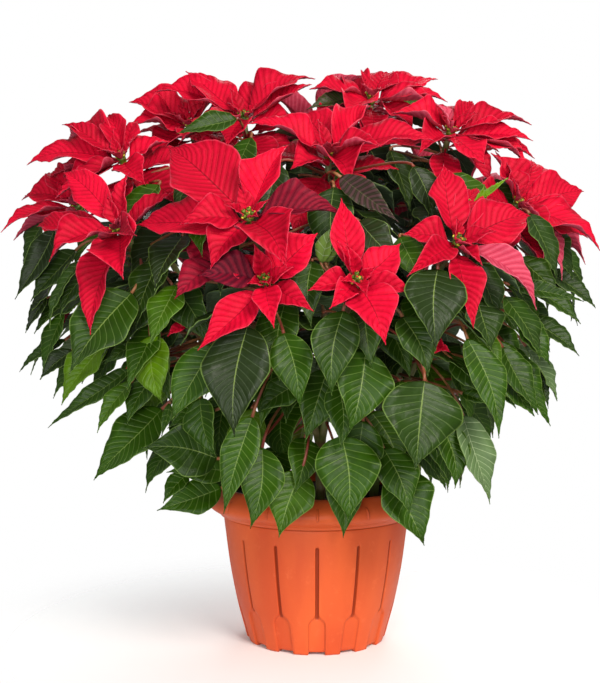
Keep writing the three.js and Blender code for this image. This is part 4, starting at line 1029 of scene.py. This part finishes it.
# Lengths of the straight end of the stalks that only the finished plant has.
SHOOT_END, INNER_END, FILL_END = 6, 8, 12
TRUNK_END = 3  # length by which a trunk runs on past its fork
# Sides and steps of the tubes.
TRUNK_MESH, BRANCH_MESH, PETIOLE_MESH = (12, 24), (10, 32), (6, 8)
# How thick a stem is along its length, as shares of its radius.
TRUNK_TAPER, KNOT, KNOTS = 0.12, 0.05, 24
BRANCH_FOOT, BRANCH_TAPER = 1.25, 0.35
NODE_SWELLING, NODE_STEP = 0.07, 0.12  # NODE_STEP is a share of the branch's length
PETIOLE_ENDS, PETIOLE_WAIST = 1.15, 0.3

# The first seed of each kind of leaf, and how far the seeds of two rows or branches lie apart.
LEAF_SEED, MISSING_SEED, SMALL_SEED = 100, 700, 800
SKIRT_SEED, INNER_SEED, FILL_SEED = 300, 900, 2000
ROW_SEEDS, FILL_ROW_SEEDS = 20, 40

# Ranges that are drawn from, with the fold in degrees. A leaf looks outwards and a little up.
LEAF = {"up": 0.5, "turn": (-0.35, 0.35), "arch": (0.05, 0.12), "fold": (8, 22), "ripple": (0.08, 0.18),
        "waves": 2, "fullness": 0.74, "neck": 0}
YOUNG_LEAF = {**LEAF, "arch": (0.08, 0.08), "fold": (24, 24), "ripple": (0.12, 0.12)}
INNER_LEAF = {**LEAF, "arch": (0.06, 0.13), "fold": (8, 20), "ripple": (0.08, 0.16)}
# What is drawn for each leaf of a row: shares of its row's numbers, then radians and millimetres.
SKIRT = {"shift": (0, 0.3), "near": (0.94, 1.04), "reach": (0.7, 1.3), "drop": (0.85, 1.15),
         "swing": (-0.08, 0.08), "rise": (0, 14), "width": (42, 56)}
# The same for the leaves that close the gaps, with their width as a share of their length.
FILL = {"shift": (-0.35, 0.35), "near": (0.72, 0.98), "length": (54, 76), "rise": (0, 24), "out": (0.2, 0.9),
        "width": (0.5, 0.62)}
FILL_TRIES = 5
# The same for the leaves inside, with their distance from the branch in millimetres.
INNER = {"near": (18, 30), "length": (0.85, 1.1), "droop": (0.7, 1.4), "rise": 4, "out": 0.35}
INNER_TURNS = (0, 24, -24, 48, -48, 80, -80, 120)  # degrees, tried in turn, to find room
GOLDEN_ANGLE = math.radians(137.5)
# Changes of clock, lift and size that are tried to find room.
SMALL_CHANGES = [(0, 0, 1), (8, 0, 1), (-8, 0, 1), (0, 8, 1), (0, -8, 0.9), (14, 6, 0.86), (-14, 6, 0.86)]

# Tones of leaves: darker as painted shade where the blooms shade them, what is added at the bottom, and by
# chance.
SHADED_TONE = 0.08
LOW_TONE = 0.3
TONE_SPREAD = 0.18
SHADE_TOP = 380
SHADE_DEPTH = 180
YOUNG_SHARE = 0.2  # of the small and filling leaves are young, and lighter by YOUNG_LIGHT
YOUNG_LIGHT = 0.32
# Leaves among the branches keep this share of their tone, as painted shade.
INNER_SHADE = 0.7


class Branch:
    """A branch from its trunk's fork to the back of its bloom."""

    def __init__(self, bloom):
        _, self.plant, hub, face, _ = bloom
        front = Vector(face).normalized()
        fork = Vector(PLANTS[self.plant][1])
        end = Vector(hub) - front * (HUB_HEIGHT + GAP)
        low = fork.lerp(end, BRANCH_LOW) + UP * BRANCH_RISE
        high = end - front * BRANCH_HIGH * (fork - end).length
        self.points = [fork, low, high, end]

    def at(self, share):
        return bezier(self.points, share)


def leaf_blade(leaf, seed, change):
    near, far, width = leaf
    clock, lift, size = change
    base = Vector(near)
    outward = Vector((near[0], near[1], 0)).normalized()
    sideways = UP.cross(outward)
    run = (Vector(far) - base) * size
    run.rotate(Quaternion(outward, math.radians(clock)))
    run.rotate(Quaternion(sideways, math.radians(lift)))
    facing = outward + UP * LEAF["up"] + sideways * drawn(LEAF["turn"], seed, 1)
    if near[1] < FRONT_HALF:
        facing += TO_FRONT * FRONT_TURN
    return Blade(base, base + run, width * size, facing, LEAF, seed, 2)


def skirt_leaves():
    leaves = []
    for row, (height, radius, count, first) in enumerate(SKIRT_ROWS):
        for k in range(count):
            seed = SKIRT_SEED + ROW_SEEDS * row + k
            azimuth = math.radians(first + SKIRT_ARC / count * (k + drawn(SKIRT["shift"], seed, 6)))
            near = radius * drawn(SKIRT["near"], seed, 7)
            far = near + SKIRT_REACH * drawn(SKIRT["reach"], seed, 8)
            drop = SKIRT_DROP * drawn(SKIRT["drop"], seed, 9)
            swing = azimuth + drawn(SKIRT["swing"], seed, 10)
            high = height + drawn(SKIRT["rise"], seed, 11)
            base = (near * math.cos(azimuth), near * math.sin(azimuth), high)
            tip = (far * math.cos(swing), far * math.sin(swing), high - drop)
            leaves.append((base, tip, drawn(SKIRT["width"], seed, 12)))
    return leaves


def fill_leaves():
    """Hanging leaves at even steps all round: for each, its seed and a few places near its own."""
    for row, (height, radius, count) in enumerate(FILL_ROWS):
        for k in range(count):
            seed = FILL_SEED + FILL_ROW_SEEDS * row + k
            tries = []
            for attempt in range(FILL_TRIES):
                azimuth = TURN * (k + 0.5 * (row % 2) + drawn(FILL["shift"], seed, attempt)) / count
                near = radius * drawn(FILL["near"], seed, attempt + 10)
                length = drawn(FILL["length"], seed, attempt + 20)
                high = height + drawn(FILL["rise"], seed, attempt + 30)
                out = Vector((math.cos(azimuth), math.sin(azimuth), 0))
                start = out * near + UP * high
                heading = (out * drawn(FILL["out"], seed, attempt + 40) - UP).normalized()
                width = length * drawn(FILL["width"], seed, attempt + 50)
                tries.append((tuple(start), tuple(start + heading * length), width))
            yield seed, tries


def inner_blade(seed, place, clock, size, width, droop):
    """A leaf that leaves its branch at place, towards clock."""
    flat = Vector((math.cos(clock), math.sin(clock), 0))
    start = place + flat * drawn(INNER["near"], seed, 2) + UP * INNER["rise"]
    length = size * drawn(INNER["length"], seed, 3)
    heading = (flat - UP * droop * drawn(INNER["droop"], seed, 4)).normalized()
    facing = UP + flat * INNER["out"]
    return Blade(start, start + heading * length, length * width, facing, INNER_LEAF, seed, 5)


def leaf_tone(blade, share):
    """Leaves are darkest just under the blooms, a painted shade, and greener further down."""
    low = min(max((SHADE_TOP - blade.tip.z) / SHADE_DEPTH, 0), 1)
    return SHADED_TONE + LOW_TONE * low + TONE_SPREAD * share


class Bush:
    """The five plants in the pot: their branches, and the foliage and stalks that grow on them."""

    def __init__(self):
        self.branches = [Branch(bloom) for bloom in BLOOMS]
        self.corners = {plant: corners_of(f"leafy_stem_{plant}") for plant in PLANTS}
        self.foliage = {plant: bmesh.new() for plant in PLANTS}
        self.stalks = {plant: [] for plant in PLANTS}

    def add(self, plant, blade, stalk, grid=COARSE_GRID, material=0, turned=False):
        add_blade(self.foliage[plant], blade, grid, material, turned)
        self.stalks[plant].append(stalk)

    def add_to_nearest(self, blade, straight, **looks):
        """Adds a leaf on a stalk from the nearest place on a branch that isn't far above the leaf."""
        spots = []
        for order, branch in enumerate(self.branches):
            for share in FINE_SHARES:
                spot = branch.at(share)
                cost = (spot - blade.base).length + max(spot.z - blade.base.z, 0) * ABOVE_COST
                spots.append((cost, order, spot))
        _, order, spot = min(spots)
        stalk = [spot, blade.base - blade.along * straight, blade.base]
        self.add(self.branches[order].plant, blade, stalk, **looks)

    def nodes_near(self, base):
        """Where the stalk of a leaf in the CAD model may come from: distance, plant and place."""
        nodes = []
        for branch in self.branches:
            for share in NODE_SHARES:
                place = branch.at(share)
                distance = (place - base).length
                if distance > SHORTEST_STALK and abs(place.z - base.z) < STALK_CLIMB:
                    nodes.append((distance, len(nodes), branch.plant, place))
        return sorted(nodes)[:NODES_TRIED]

    def found(self, leaf, seed):
        """The plant, blade and stalk of a leaf as the CAD model holds it, or None where it was left out."""
        for change in changes():
            blade = leaf_blade(leaf, seed, change)
            plants = [plant for plant in PLANTS if has_corner(self.corners[plant], blade.tip)]
            if not plants:
                continue
            for distance, _, plant, place in self.nodes_near(blade.base):
                stalk = [place, blade.base - blade.along * STALK_BEND * distance, blade.base]
                middle = grown(bezier(stalk, 0.5))
                near = self.corners[plant].find_range(middle, (PETIOLE_RADIUS + STALK_SLACK) * MM)
                if plant in plants and len(near) >= STALK_CORNERS:
                    return plant, blade, stalk
        return None

    def grow_leaves(self):
        """The leaves of the CAD model. Gives back those that it holds no place for, by number."""
        missing = []
        for number, leaf in enumerate([*FRONT_LEAVES, *skirt_leaves()]):
            found = self.found(leaf, LEAF_SEED + number)
            if not found:
                missing.append((MISSING_SEED + number, [leaf]))
                continue
            plant, blade, stalk = found
            blade.tone = LEAF_LIGHT.get(number, leaf_tone(blade, chance(number, 3)))
            blade.flush = DARK_LEAVES.get(number, 0.0)
            blade.width *= LEAF_WIDTHS.get(number, 1)
            self.add(plant, blade, stalk, FINE_GRID, material=2 if number in RED_LEAVES else 0,
                     turned=number in TURNED_LEAVES)
            room.take(blade)
        return missing

    def fill_gaps(self, missing):
        """The missing leaves, the small ones and those that close the gaps, where they find room."""
        small = [(SMALL_SEED + k, [leaf]) for k, leaf in enumerate(SMALL_LEAVES)]
        for seed, tries in [*missing, *small, *fill_leaves()]:
            tried = (leaf_blade(leaf, seed, change) for leaf in tries for change in SMALL_CHANGES)
            blade = next((blade for blade in tried if room.takes(blade)), None)
            if blade and seed - FILL_SEED not in BARE_SPOTS:
                young = YOUNG_LIGHT if chance(seed, 61) < YOUNG_SHARE else 0
                blade.tone = leaf_tone(blade, chance(seed, 8)) + young
                self.add_to_nearest(blade, FILL_END)

    def grow_shoots(self):
        for number, (near, far, width, facing, tone) in enumerate(SHOOTS):
            blade = Blade(Vector(near), Vector(far), width, Vector(facing), YOUNG_LEAF, number, 49)
            blade.tone = tone
            blade.flush = DARK_SHOOTS.get(number, 0.0)
            self.add_to_nearest(blade, SHOOT_END, material=2 if number in RED_SHOOTS else 0,
                                turned=number in TURNED_SHOOTS)

    def grow_inside(self):
        """Leaves among the branches, spread by the golden angle as they grow, where they find room."""
        for order, branch in enumerate(self.branches):
            for k, (share, size, width, droop) in enumerate(INNER_LEAVES):
                seed = INNER_SEED + ROW_SEEDS * order + k
                place = branch.at(share)
                clock = GOLDEN_ANGLE * k + TURN * chance(order, 33)
                tried = (inner_blade(seed, place, clock + math.radians(turned), size, width, droop)
                         for turned in INNER_TURNS)
                blade = next((blade for blade in tried if room.takes(blade)), None)
                if blade:
                    blade.tone = INNER_SHADE * leaf_tone(blade, chance(seed, 8))
                    stalk = [place, blade.base - blade.along * INNER_END, blade.base]
                    self.add(branch.plant, blade, stalk)

    def make_stems(self, plant):
        bm = bmesh.new()
        foot = Vector((*PLANTS[plant][0], TRUNK_FOOT))
        fork = Vector(PLANTS[plant][1])
        top = fork + (fork - foot).normalized() * TRUNK_END
        add_tube(bm, lambda share: foot.lerp(top, share), trunk_radius, *TRUNK_MESH)
        for branch in self.branches:
            if branch.plant == plant:
                add_tube(bm, branch.at, branch_radius, *BRANCH_MESH)
        for stalk in self.stalks[plant]:
            add_tube(bm, lambda share, stalk=stalk: bezier(stalk, share), petiole_radius, *PETIOLE_MESH,
                     material=1)
        bmesh.ops.recalc_face_normals(bm, faces=bm.faces)
        finished(bm, f"stems_{plant}", [SHOOT, PETIOLE], f"leafy_stem_{plant}")


def trunk_radius(share):
    """A little thinner towards the fork, and knotty."""
    return TRUNK_RADIUS * (1 - TRUNK_TAPER * share + KNOT * math.sin(KNOTS * share))


def branch_radius(share):
    """Thinner towards the bloom, and swollen where leaves grew."""
    swelling = NODE_SWELLING * math.cos(TURN * share / NODE_STEP)
    return BRANCH_RADIUS * (BRANCH_FOOT - BRANCH_TAPER * share + swelling)


def petiole_radius(share):
    return PETIOLE_RADIUS * (PETIOLE_ENDS - PETIOLE_WAIST * math.sin(math.pi * share))


def make_plants():
    bush = Bush()
    bush.fill_gaps(bush.grow_leaves())
    bush.grow_shoots()
    bush.grow_inside()
    for plant, bm in bush.foliage.items():
        finished_blades(bm, f"foliage_{plant}", [LEAF_FACE, LEAF_BACK, BRACT_FACE, BRACT_BACK],
                        f"leafy_stem_{plant}")
        bush.make_stems(plant)


# ---------- pot and soil ----------

SLOTS = 14
POT_FLOOR = 5.2
FOOT_HEIGHT = 2.5
FOOT_RING = 58
FOOT_BAND = 5  # height over which the wall's lower edge follows the feet
SLOT_HALF = 1.7
SLOT_DEPTH = 3.1
SLOT_TOP = 109.7
ARCH_HALF = 8.2
ARCH_CORNER = 5.5
ARCH_BLEND = 7  # over which an arch runs out into its slot
ARCH_DEPTH = 2.0
ARCH_TOP = 37
BOX_HALF = 50  # half the height of the boxes that cut slot and arch
INNER_FOOT = 30  # height above which the wall bulges inwards behind the slots
INNER_BULGE = 0.7  # as a share of the slot's depth
TICK = (1.0, 5.0, 143.5)  # half width, half height and middle height of the short ribs on the collar
TICK_CORNER = 0.8
TICK_RISE = 1.8
SLOT_FOOT = ARCH_TOP + 1  # height above which a slot is cut deeper than its arch
COLLAR_BAND = SLOT_TOP + 8  # height above which there are only the collar's ribs
# Distances from an outline where the wall has the recess's depth, or a rib's or foot's height, and where
# it has its own face. A foot begins beside its arch.
RECESS_EDGE = (-0.5, 0.2)
RIB_EDGE = (-0.6, 0.3)
FOOT_EDGE = (ARCH_HALF - 0.6, ARCH_HALF + 0.3)
# How dark the painted shade is in the slots, and in a line where an arch or a rib has its edge.
SLOT_TINT = 0.8
TINT_EDGE = (-0.4, 0.3)
EDGE_TINT = 0.45
# Place and width of these lines: by height in the groove below the collar, and by distance from the
# outline of a rib and of an arch.
GROOVE_LINE = (126.6, 0.7)
RIB_LINE = (0.3, 0.5)
ARCH_LINE = (-0.3, 0.45)
# The wall's outer and inner face, as radius and height.
OUTER_BODY = [(69, 0), (70.2, 0.9), (73.6, 13), (80.2, 38.2), (87.2, 74), (92, 109.7), (93.5, 122),
              (93.7, 125.6)]
COLLAR = [(92.9, 126.0), (92.9, 127.0), (96.6, 127.2), (97.6, 127.5), (98.1, 128.3), (98.6, 129.3),
          (101.0, 130.9), (104.4, 132.9), (107.8, 135.5), (109.7, 138.2), (110.2, 140.8), (109.5, 143.9),
          (107.0, 147.5), (102.9, 151), (98.2, 154), (95.2, 155.3), (93.6, 155.7), (92.3, 155.6),
          (91.6, 154.9)]
INNER_WALL = [(92.4, 154.2), (97.5, 151.4), (104, 146), (106.6, 142), (107, 138.6), (103, 134.4), (96, 130.2),
              (91, 126.6), (88.2, 109.7), (83.2, 74), (76.2, 38.2), (67.6, 9), (65.4, POT_FLOOR),
              (40, POT_FLOOR), (0, POT_FLOOR)]
UNDERSIDE = [(0, FOOT_HEIGHT), (40, FOOT_HEIGHT), (FOOT_RING - 0.4, FOOT_HEIGHT), (FOOT_RING, 0), (66.4, 0)]
BODY_ROWS, COLLAR_ROWS = 1.4, 1.6  # spacing of the wall's rows
# Columns of one slot's sector, from its middle, closer where the slot and the arch have their edges.
SECTOR_COLUMNS = [0, 0.7, 1.1, 1.5, 1.8, 2.15, 2.8, 4.0, 5.4, 6.6, 7.4, 7.8, 8.2, 8.7]
OUTER_COLUMNS = 3  # columns more, spread up to the next sector
SECTOR_RADIUS = 66  # below which the columns run together towards the axis


def even_rows(points, spacing):
    """Points of a smooth line through points, about spacing apart."""
    rows = []
    for k in range(len(points) - 1):
        before, start = points[max(k - 1, 0)], points[k]
        end, after = points[k + 1], points[min(k + 2, len(points) - 1)]
        steps = max(1, round(math.dist(start, end) / spacing))
        for step in range(steps):
            t = step / steps
            rows.append([0.5 * (2 * b + t * (c - a) + t * t * (2 * a - 5 * b + 4 * c - d)
                                + t ** 3 * (3 * b - a - 3 * c + d))
                         for a, b, c, d in zip(before, start, end, after)])
    return rows + [list(points[-1])]


def within(distance, edge):
    """Smoothly from 1 inside an outline to 0 outside it, while the distance passes its edge."""
    low, high = edge
    t = min(max((distance - low) / (high - low), 0), 1)
    return 1 - t * t * (3 - 2 * t)


def line_at(distance, place, width):
    """1 on a line at this place, and fading to both sides within its width."""
    return math.exp(-((distance - place) / width) ** 2)


def rounded_box(x, y, half_width, half_height, corner):
    """Distance from a rounded rectangle's edge: negative inside."""
    dx = abs(x) - half_width + corner
    dy = abs(y) - half_height + corner
    return math.hypot(max(dx, 0), max(dy, 0)) + min(max(dx, dy), 0) - corner


def joined(first, second, blend):
    """The nearer of two outlines, rounded where they meet."""
    close = max(blend - abs(first - second), 0) / blend
    return min(first, second) - close * close * blend / 4


def edges_at(across, height):
    """Distances from the edges of the collar's rib, of the slot and of the slot and its arch as one."""
    rib = rounded_box(across, height - TICK[2], TICK[0], TICK[1], TICK_CORNER)
    slot = rounded_box(across, height - (SLOT_TOP - BOX_HALF), SLOT_HALF, BOX_HALF, SLOT_HALF - 0.05)
    arch = rounded_box(across, height - (ARCH_TOP - BOX_HALF), ARCH_HALF, BOX_HALF, ARCH_CORNER)
    return rib, slot, joined(slot, arch, ARCH_BLEND) if height < ARCH_TOP + ARCH_BLEND else slot


def recess_at(across, height):
    """How far the wall is sunk by the slot and the arch below it, or raised by the collar's ribs."""
    rib, slot, bottle = edges_at(across, height)
    if height > COLLAR_BAND:
        return -TICK_RISE * within(rib, RIB_EDGE)
    in_slot = SLOT_DEPTH * within(slot, RECESS_EDGE) * (height > SLOT_FOOT)
    return max(in_slot, ARCH_DEPTH * within(bottle, RECESS_EDGE))


def painted_shade_at(across, height):
    """Painted shade on the wall: all over in a slot, and in a line at the other edges and in the groove under
    the collar.
    """
    rib, slot, bottle = edges_at(across, height)
    if height > COLLAR_BAND:
        return max(line_at(height, *GROOVE_LINE), EDGE_TINT * line_at(rib, *RIB_LINE))
    in_slot = SLOT_TINT * within(slot, TINT_EDGE) * (height > SLOT_FOOT)
    return max(in_slot, EDGE_TINT * line_at(bottle, *ARCH_LINE))


def column_at(step, radius):
    """How far from its middle one of a sector's columns stands, round a wall of this radius."""
    if step < len(SECTOR_COLUMNS):
        return SECTOR_COLUMNS[step]
    share = (step - len(SECTOR_COLUMNS) + 1) / OUTER_COLUMNS
    edge = math.pi / SLOTS * max(radius, SECTOR_RADIUS)
    return SECTOR_COLUMNS[-1] + share * (edge - SECTOR_COLUMNS[-1])


def make_pot():
    """One sector of the wall as a grid of columns and rows, repeated round the axis."""
    outside = even_rows(OUTER_BODY, BODY_ROWS)
    collar = even_rows(COLLAR, COLLAR_ROWS)
    profile = [*UNDERSIDE, *outside, *collar, *INNER_WALL]
    wall = range(len(UNDERSIDE), len(UNDERSIDE) + len(outside) + len(collar))
    half = len(SECTOR_COLUMNS) - 1 + OUTER_COLUMNS
    last = len(profile) - 1
    bm = bmesh.new()
    sunk = bm.verts.layers.float.new(POT_PAINTED_SHADE)
    for vert in bmesh.ops.create_grid(bm, x_segments=2 * half, y_segments=last, size=0.5)["verts"]:
        column = round(vert.co.x * 2 * half)
        row = round((vert.co.y + 0.5) * last)
        radius, height = profile[row]
        across = column_at(abs(column), radius)
        angle = math.copysign(across, column) / max(radius, SECTOR_RADIUS)
        if row in wall:
            radius -= recess_at(across, height)
            vert[sunk] = painted_shade_at(across, height)
        elif INNER_FOOT < height < SLOT_TOP:
            radius -= INNER_BULGE * recess_at(across, height)
        if row < wall[-1] and height < FOOT_BAND and radius > FOOT_RING - 0.2:
            lowest = FOOT_HEIGHT * within(across, FOOT_EDGE)
            height = lowest + height * (1 - lowest / FOOT_BAND)
        vert.co = grown((radius * math.sin(angle), -radius * math.cos(angle), height))
    bmesh.ops.spin(bm, geom=bm.verts[:] + bm.edges[:] + bm.faces[:], cent=POT_AXIS, axis=(0, 0, 1),
                   angle=TURN * (SLOTS - 1) / SLOTS, steps=SLOTS - 1, use_duplicate=True)
    bmesh.ops.remove_doubles(bm, verts=bm.verts, dist=0.04 * MM)
    bmesh.ops.recalc_face_normals(bm, faces=bm.faces)
    finished(bm, "moulded_pot", [POT], "pot")


SOIL_PROFILE = [(0, 5.6), (63, 5.6), (72.4, 38.5), (84.3, 110), (88.4, 126.9), (101, 137), (103.4, 140),
                (101, 142.2), (94, 142.6), (84, 143.4), (72, 144.2), (60, 145), (48, 145.8), (36, 146.2),
                (24, 146.5), (12, 146.7), (0, 146.8)]
SOIL_SIDES = 72
LOOSE_ABOVE = 141  # height above which the soil is rough
ROUGHNESS = 1.8
LUMP = 9  # width of its lumps
CRUMBS = 150
CRUMB_SPREAD = 100  # radius of the circle that they lie in
CRUMB_LEVEL = 146.5  # height of the soil's middle, and how much it falls for each millimetre of radius:
CRUMB_FALL = 0.04
CRUMB_SIZE = (1.4, 4.0)
CRUMB_WIDTH = (0.7, 1.2)
CRUMB_HEIGHT = 0.7
CRUMB_LUMP = 2.5


def make_soil():
    bm = bmesh.new()
    verts = [bm.verts.new(grown((radius, 0, height))) for radius, height in SOIL_PROFILE]
    edges = [bm.edges.new(pair) for pair in zip(verts, verts[1:])]
    bmesh.ops.spin(
        bm, geom=verts + edges, cent=POT_AXIS, axis=(0, 0, 1), angle=TURN, steps=SOIL_SIDES, use_merge=True)
    bmesh.ops.remove_doubles(bm, verts=bm.verts, dist=0.1 * MM)
    for vert in bm.verts:
        if vert.co.z > LOOSE_ABOVE * MM:
            vert.co.z += ROUGHNESS * MM * noise.fractal(vert.co / (LUMP * MM), 1.0, 2.0, 3)
    for k in range(CRUMBS):
        angle = TURN * chance(k, 1)
        radius = CRUMB_SPREAD * math.sqrt(chance(k, 2))
        height = CRUMB_LEVEL - CRUMB_FALL * radius
        low, high = CRUMB_SIZE
        size = (low + (high - low) * chance(k, 3) ** 2) * MM
        place = grown((radius * math.cos(angle), radius * math.sin(angle), height))
        stretch = Matrix.Diagonal((size, size * drawn(CRUMB_WIDTH, k, 4), size * CRUMB_HEIGHT, 1))
        turned = Matrix.Rotation(TURN * chance(k, 5), 4, "Z") @ Matrix.Rotation(chance(k, 6), 4, "X")
        laid = Matrix.Translation(place) @ turned @ stretch
        for vert in bmesh.ops.create_icosphere(bm, subdivisions=2, radius=1, matrix=laid)["verts"]:
            vert.co += (vert.co - place) * 0.5 * noise.noise(vert.co / (CRUMB_LUMP * MM))
    bmesh.ops.recalc_face_normals(bm, faces=bm.faces)
    finished(bm, "potting_mix", [PEAT], "soil")


# ---------- stage, light and camera ----------

CAMERA_FOCUS = 1158  # focal length in pixels of a frame 683 pixels high
FRAME_HEIGHT = 683
SENSOR = 36
CAMERA_PLACE = (-16.24, -1175, 350)
CAMERA_DIP = 2.39  # degrees
FLOOR_FADE = (0.1, 0.4)  # metres from the middle over which the floor fades into the white room
FLOOR_RADIUS = 4.5
ROOM_LIGHT = 0.48
PLANT_MIDDLE = Vector((0, 0, 0.33))
# Square soft boxes: name, place, size, energy and colour. The key comes from above the camera's right.
LIGHTS = [
    ("key", (0.85, -1.7, 1.45), 0.8, 52, "#FFF8F0"),
    ("fill", (-0.4, -2.0, 0.35), 1.0, 26, "#FFFFFF"),
    ("rim", (0.3, 1.6, 1.6), 1.0, 24, "#FFFFFF"),
]


def placed(name, data):
    """An object of the stage, in the scene."""
    made = bpy.data.objects.new(name, data)
    bpy.context.scene.collection.objects.link(made)
    return made


def make_camera():
    camera = placed("camera", bpy.data.cameras.new("camera"))
    camera.data.sensor_width = SENSOR
    camera.data.lens = CAMERA_FOCUS / FRAME_HEIGHT * SENSOR
    camera.location = grown(CAMERA_PLACE)
    camera.rotation_euler = (math.radians(90 - CAMERA_DIP), 0, 0)
    bpy.context.scene.camera = camera


def floor_material():
    """Matt white board, faintly uneven, that fades into the room's white and so has no horizon."""
    made, tree, place = new_material("pale_matt_floor")
    distance = node(tree, "ShaderNodeVectorMath", {0: place}, operation="LENGTH").outputs["Value"]
    cloudy = node(tree, "ShaderNodeTexNoise", {"Vector": place, "Scale": 2.0})
    shade = painted(tree, "#FAFAFA", ("#F4F4F4", cloudy.outputs[0]))
    board = node(tree, "ShaderNodeBsdfPrincipled", {
        "Base Color": shade, "Roughness": 0.8, "Specular IOR Level": 0.2})
    clear = node(tree, "ShaderNodeBsdfTransparent")
    away = node(tree, "ShaderNodeMapRange", {
        "Value": distance, "From Min": FLOOR_FADE[0], "From Max": FLOOR_FADE[1],
    }, interpolation_type="SMOOTHSTEP")
    faded = node(tree, "ShaderNodeMixShader", {0: away.outputs[0], 1: board.outputs[0], 2: clear.outputs[0]})
    node(tree, "ShaderNodeOutputMaterial", {"Surface": faded.outputs[0]})
    return made


def make_floor():
    bm = bmesh.new()
    bmesh.ops.create_circle(bm, cap_ends=True, segments=96, radius=FLOOR_RADIUS)
    mesh = bpy.data.meshes.new("floor")
    bm.to_mesh(mesh)
    bm.free()
    mesh.materials.append(floor_material())
    placed("floor", mesh)


def make_lights():
    """A white studio: soft light from all round, the soft boxes, and a room that the camera sees as white."""
    world = bpy.data.worlds.new("studio")
    world.use_nodes = True
    tree = world.node_tree
    tree.nodes.clear()
    ray = node(tree, "ShaderNodeLightPath")
    soft = node(tree, "ShaderNodeBackground", {"Color": "#FFFFFF", "Strength": ROOM_LIGHT})
    white = node(tree, "ShaderNodeBackground", {"Color": "#FFFFFF", "Strength": 1.0})
    both = node(tree, "ShaderNodeMixShader", {
        0: ray.outputs["Is Camera Ray"], 1: soft.outputs[0], 2: white.outputs[0]})
    node(tree, "ShaderNodeOutputWorld", {"Surface": both.outputs[0]})
    bpy.context.scene.world = world
    for name, place, size, energy, hue in LIGHTS:
        lamp = placed(name, bpy.data.lights.new(name, "AREA"))
        lamp.data.size = size
        lamp.data.energy = energy
        lamp.data.color = colour(hue)[:3]
        lamp.location = place
        lamp.rotation_euler = (PLANT_MIDDLE - Vector(place)).to_track_quat("-Z", "Y").to_euler()
    bpy.context.scene.view_settings.view_transform = "Standard"


make_camera()
make_floor()
make_lights()
flower_cup = make_cup()
for number, bloom in enumerate(BLOOMS):
    make_bloom(number, bloom)
    make_flowers(number, bloom, flower_cup)
make_plants()
make_pot()
make_soil()
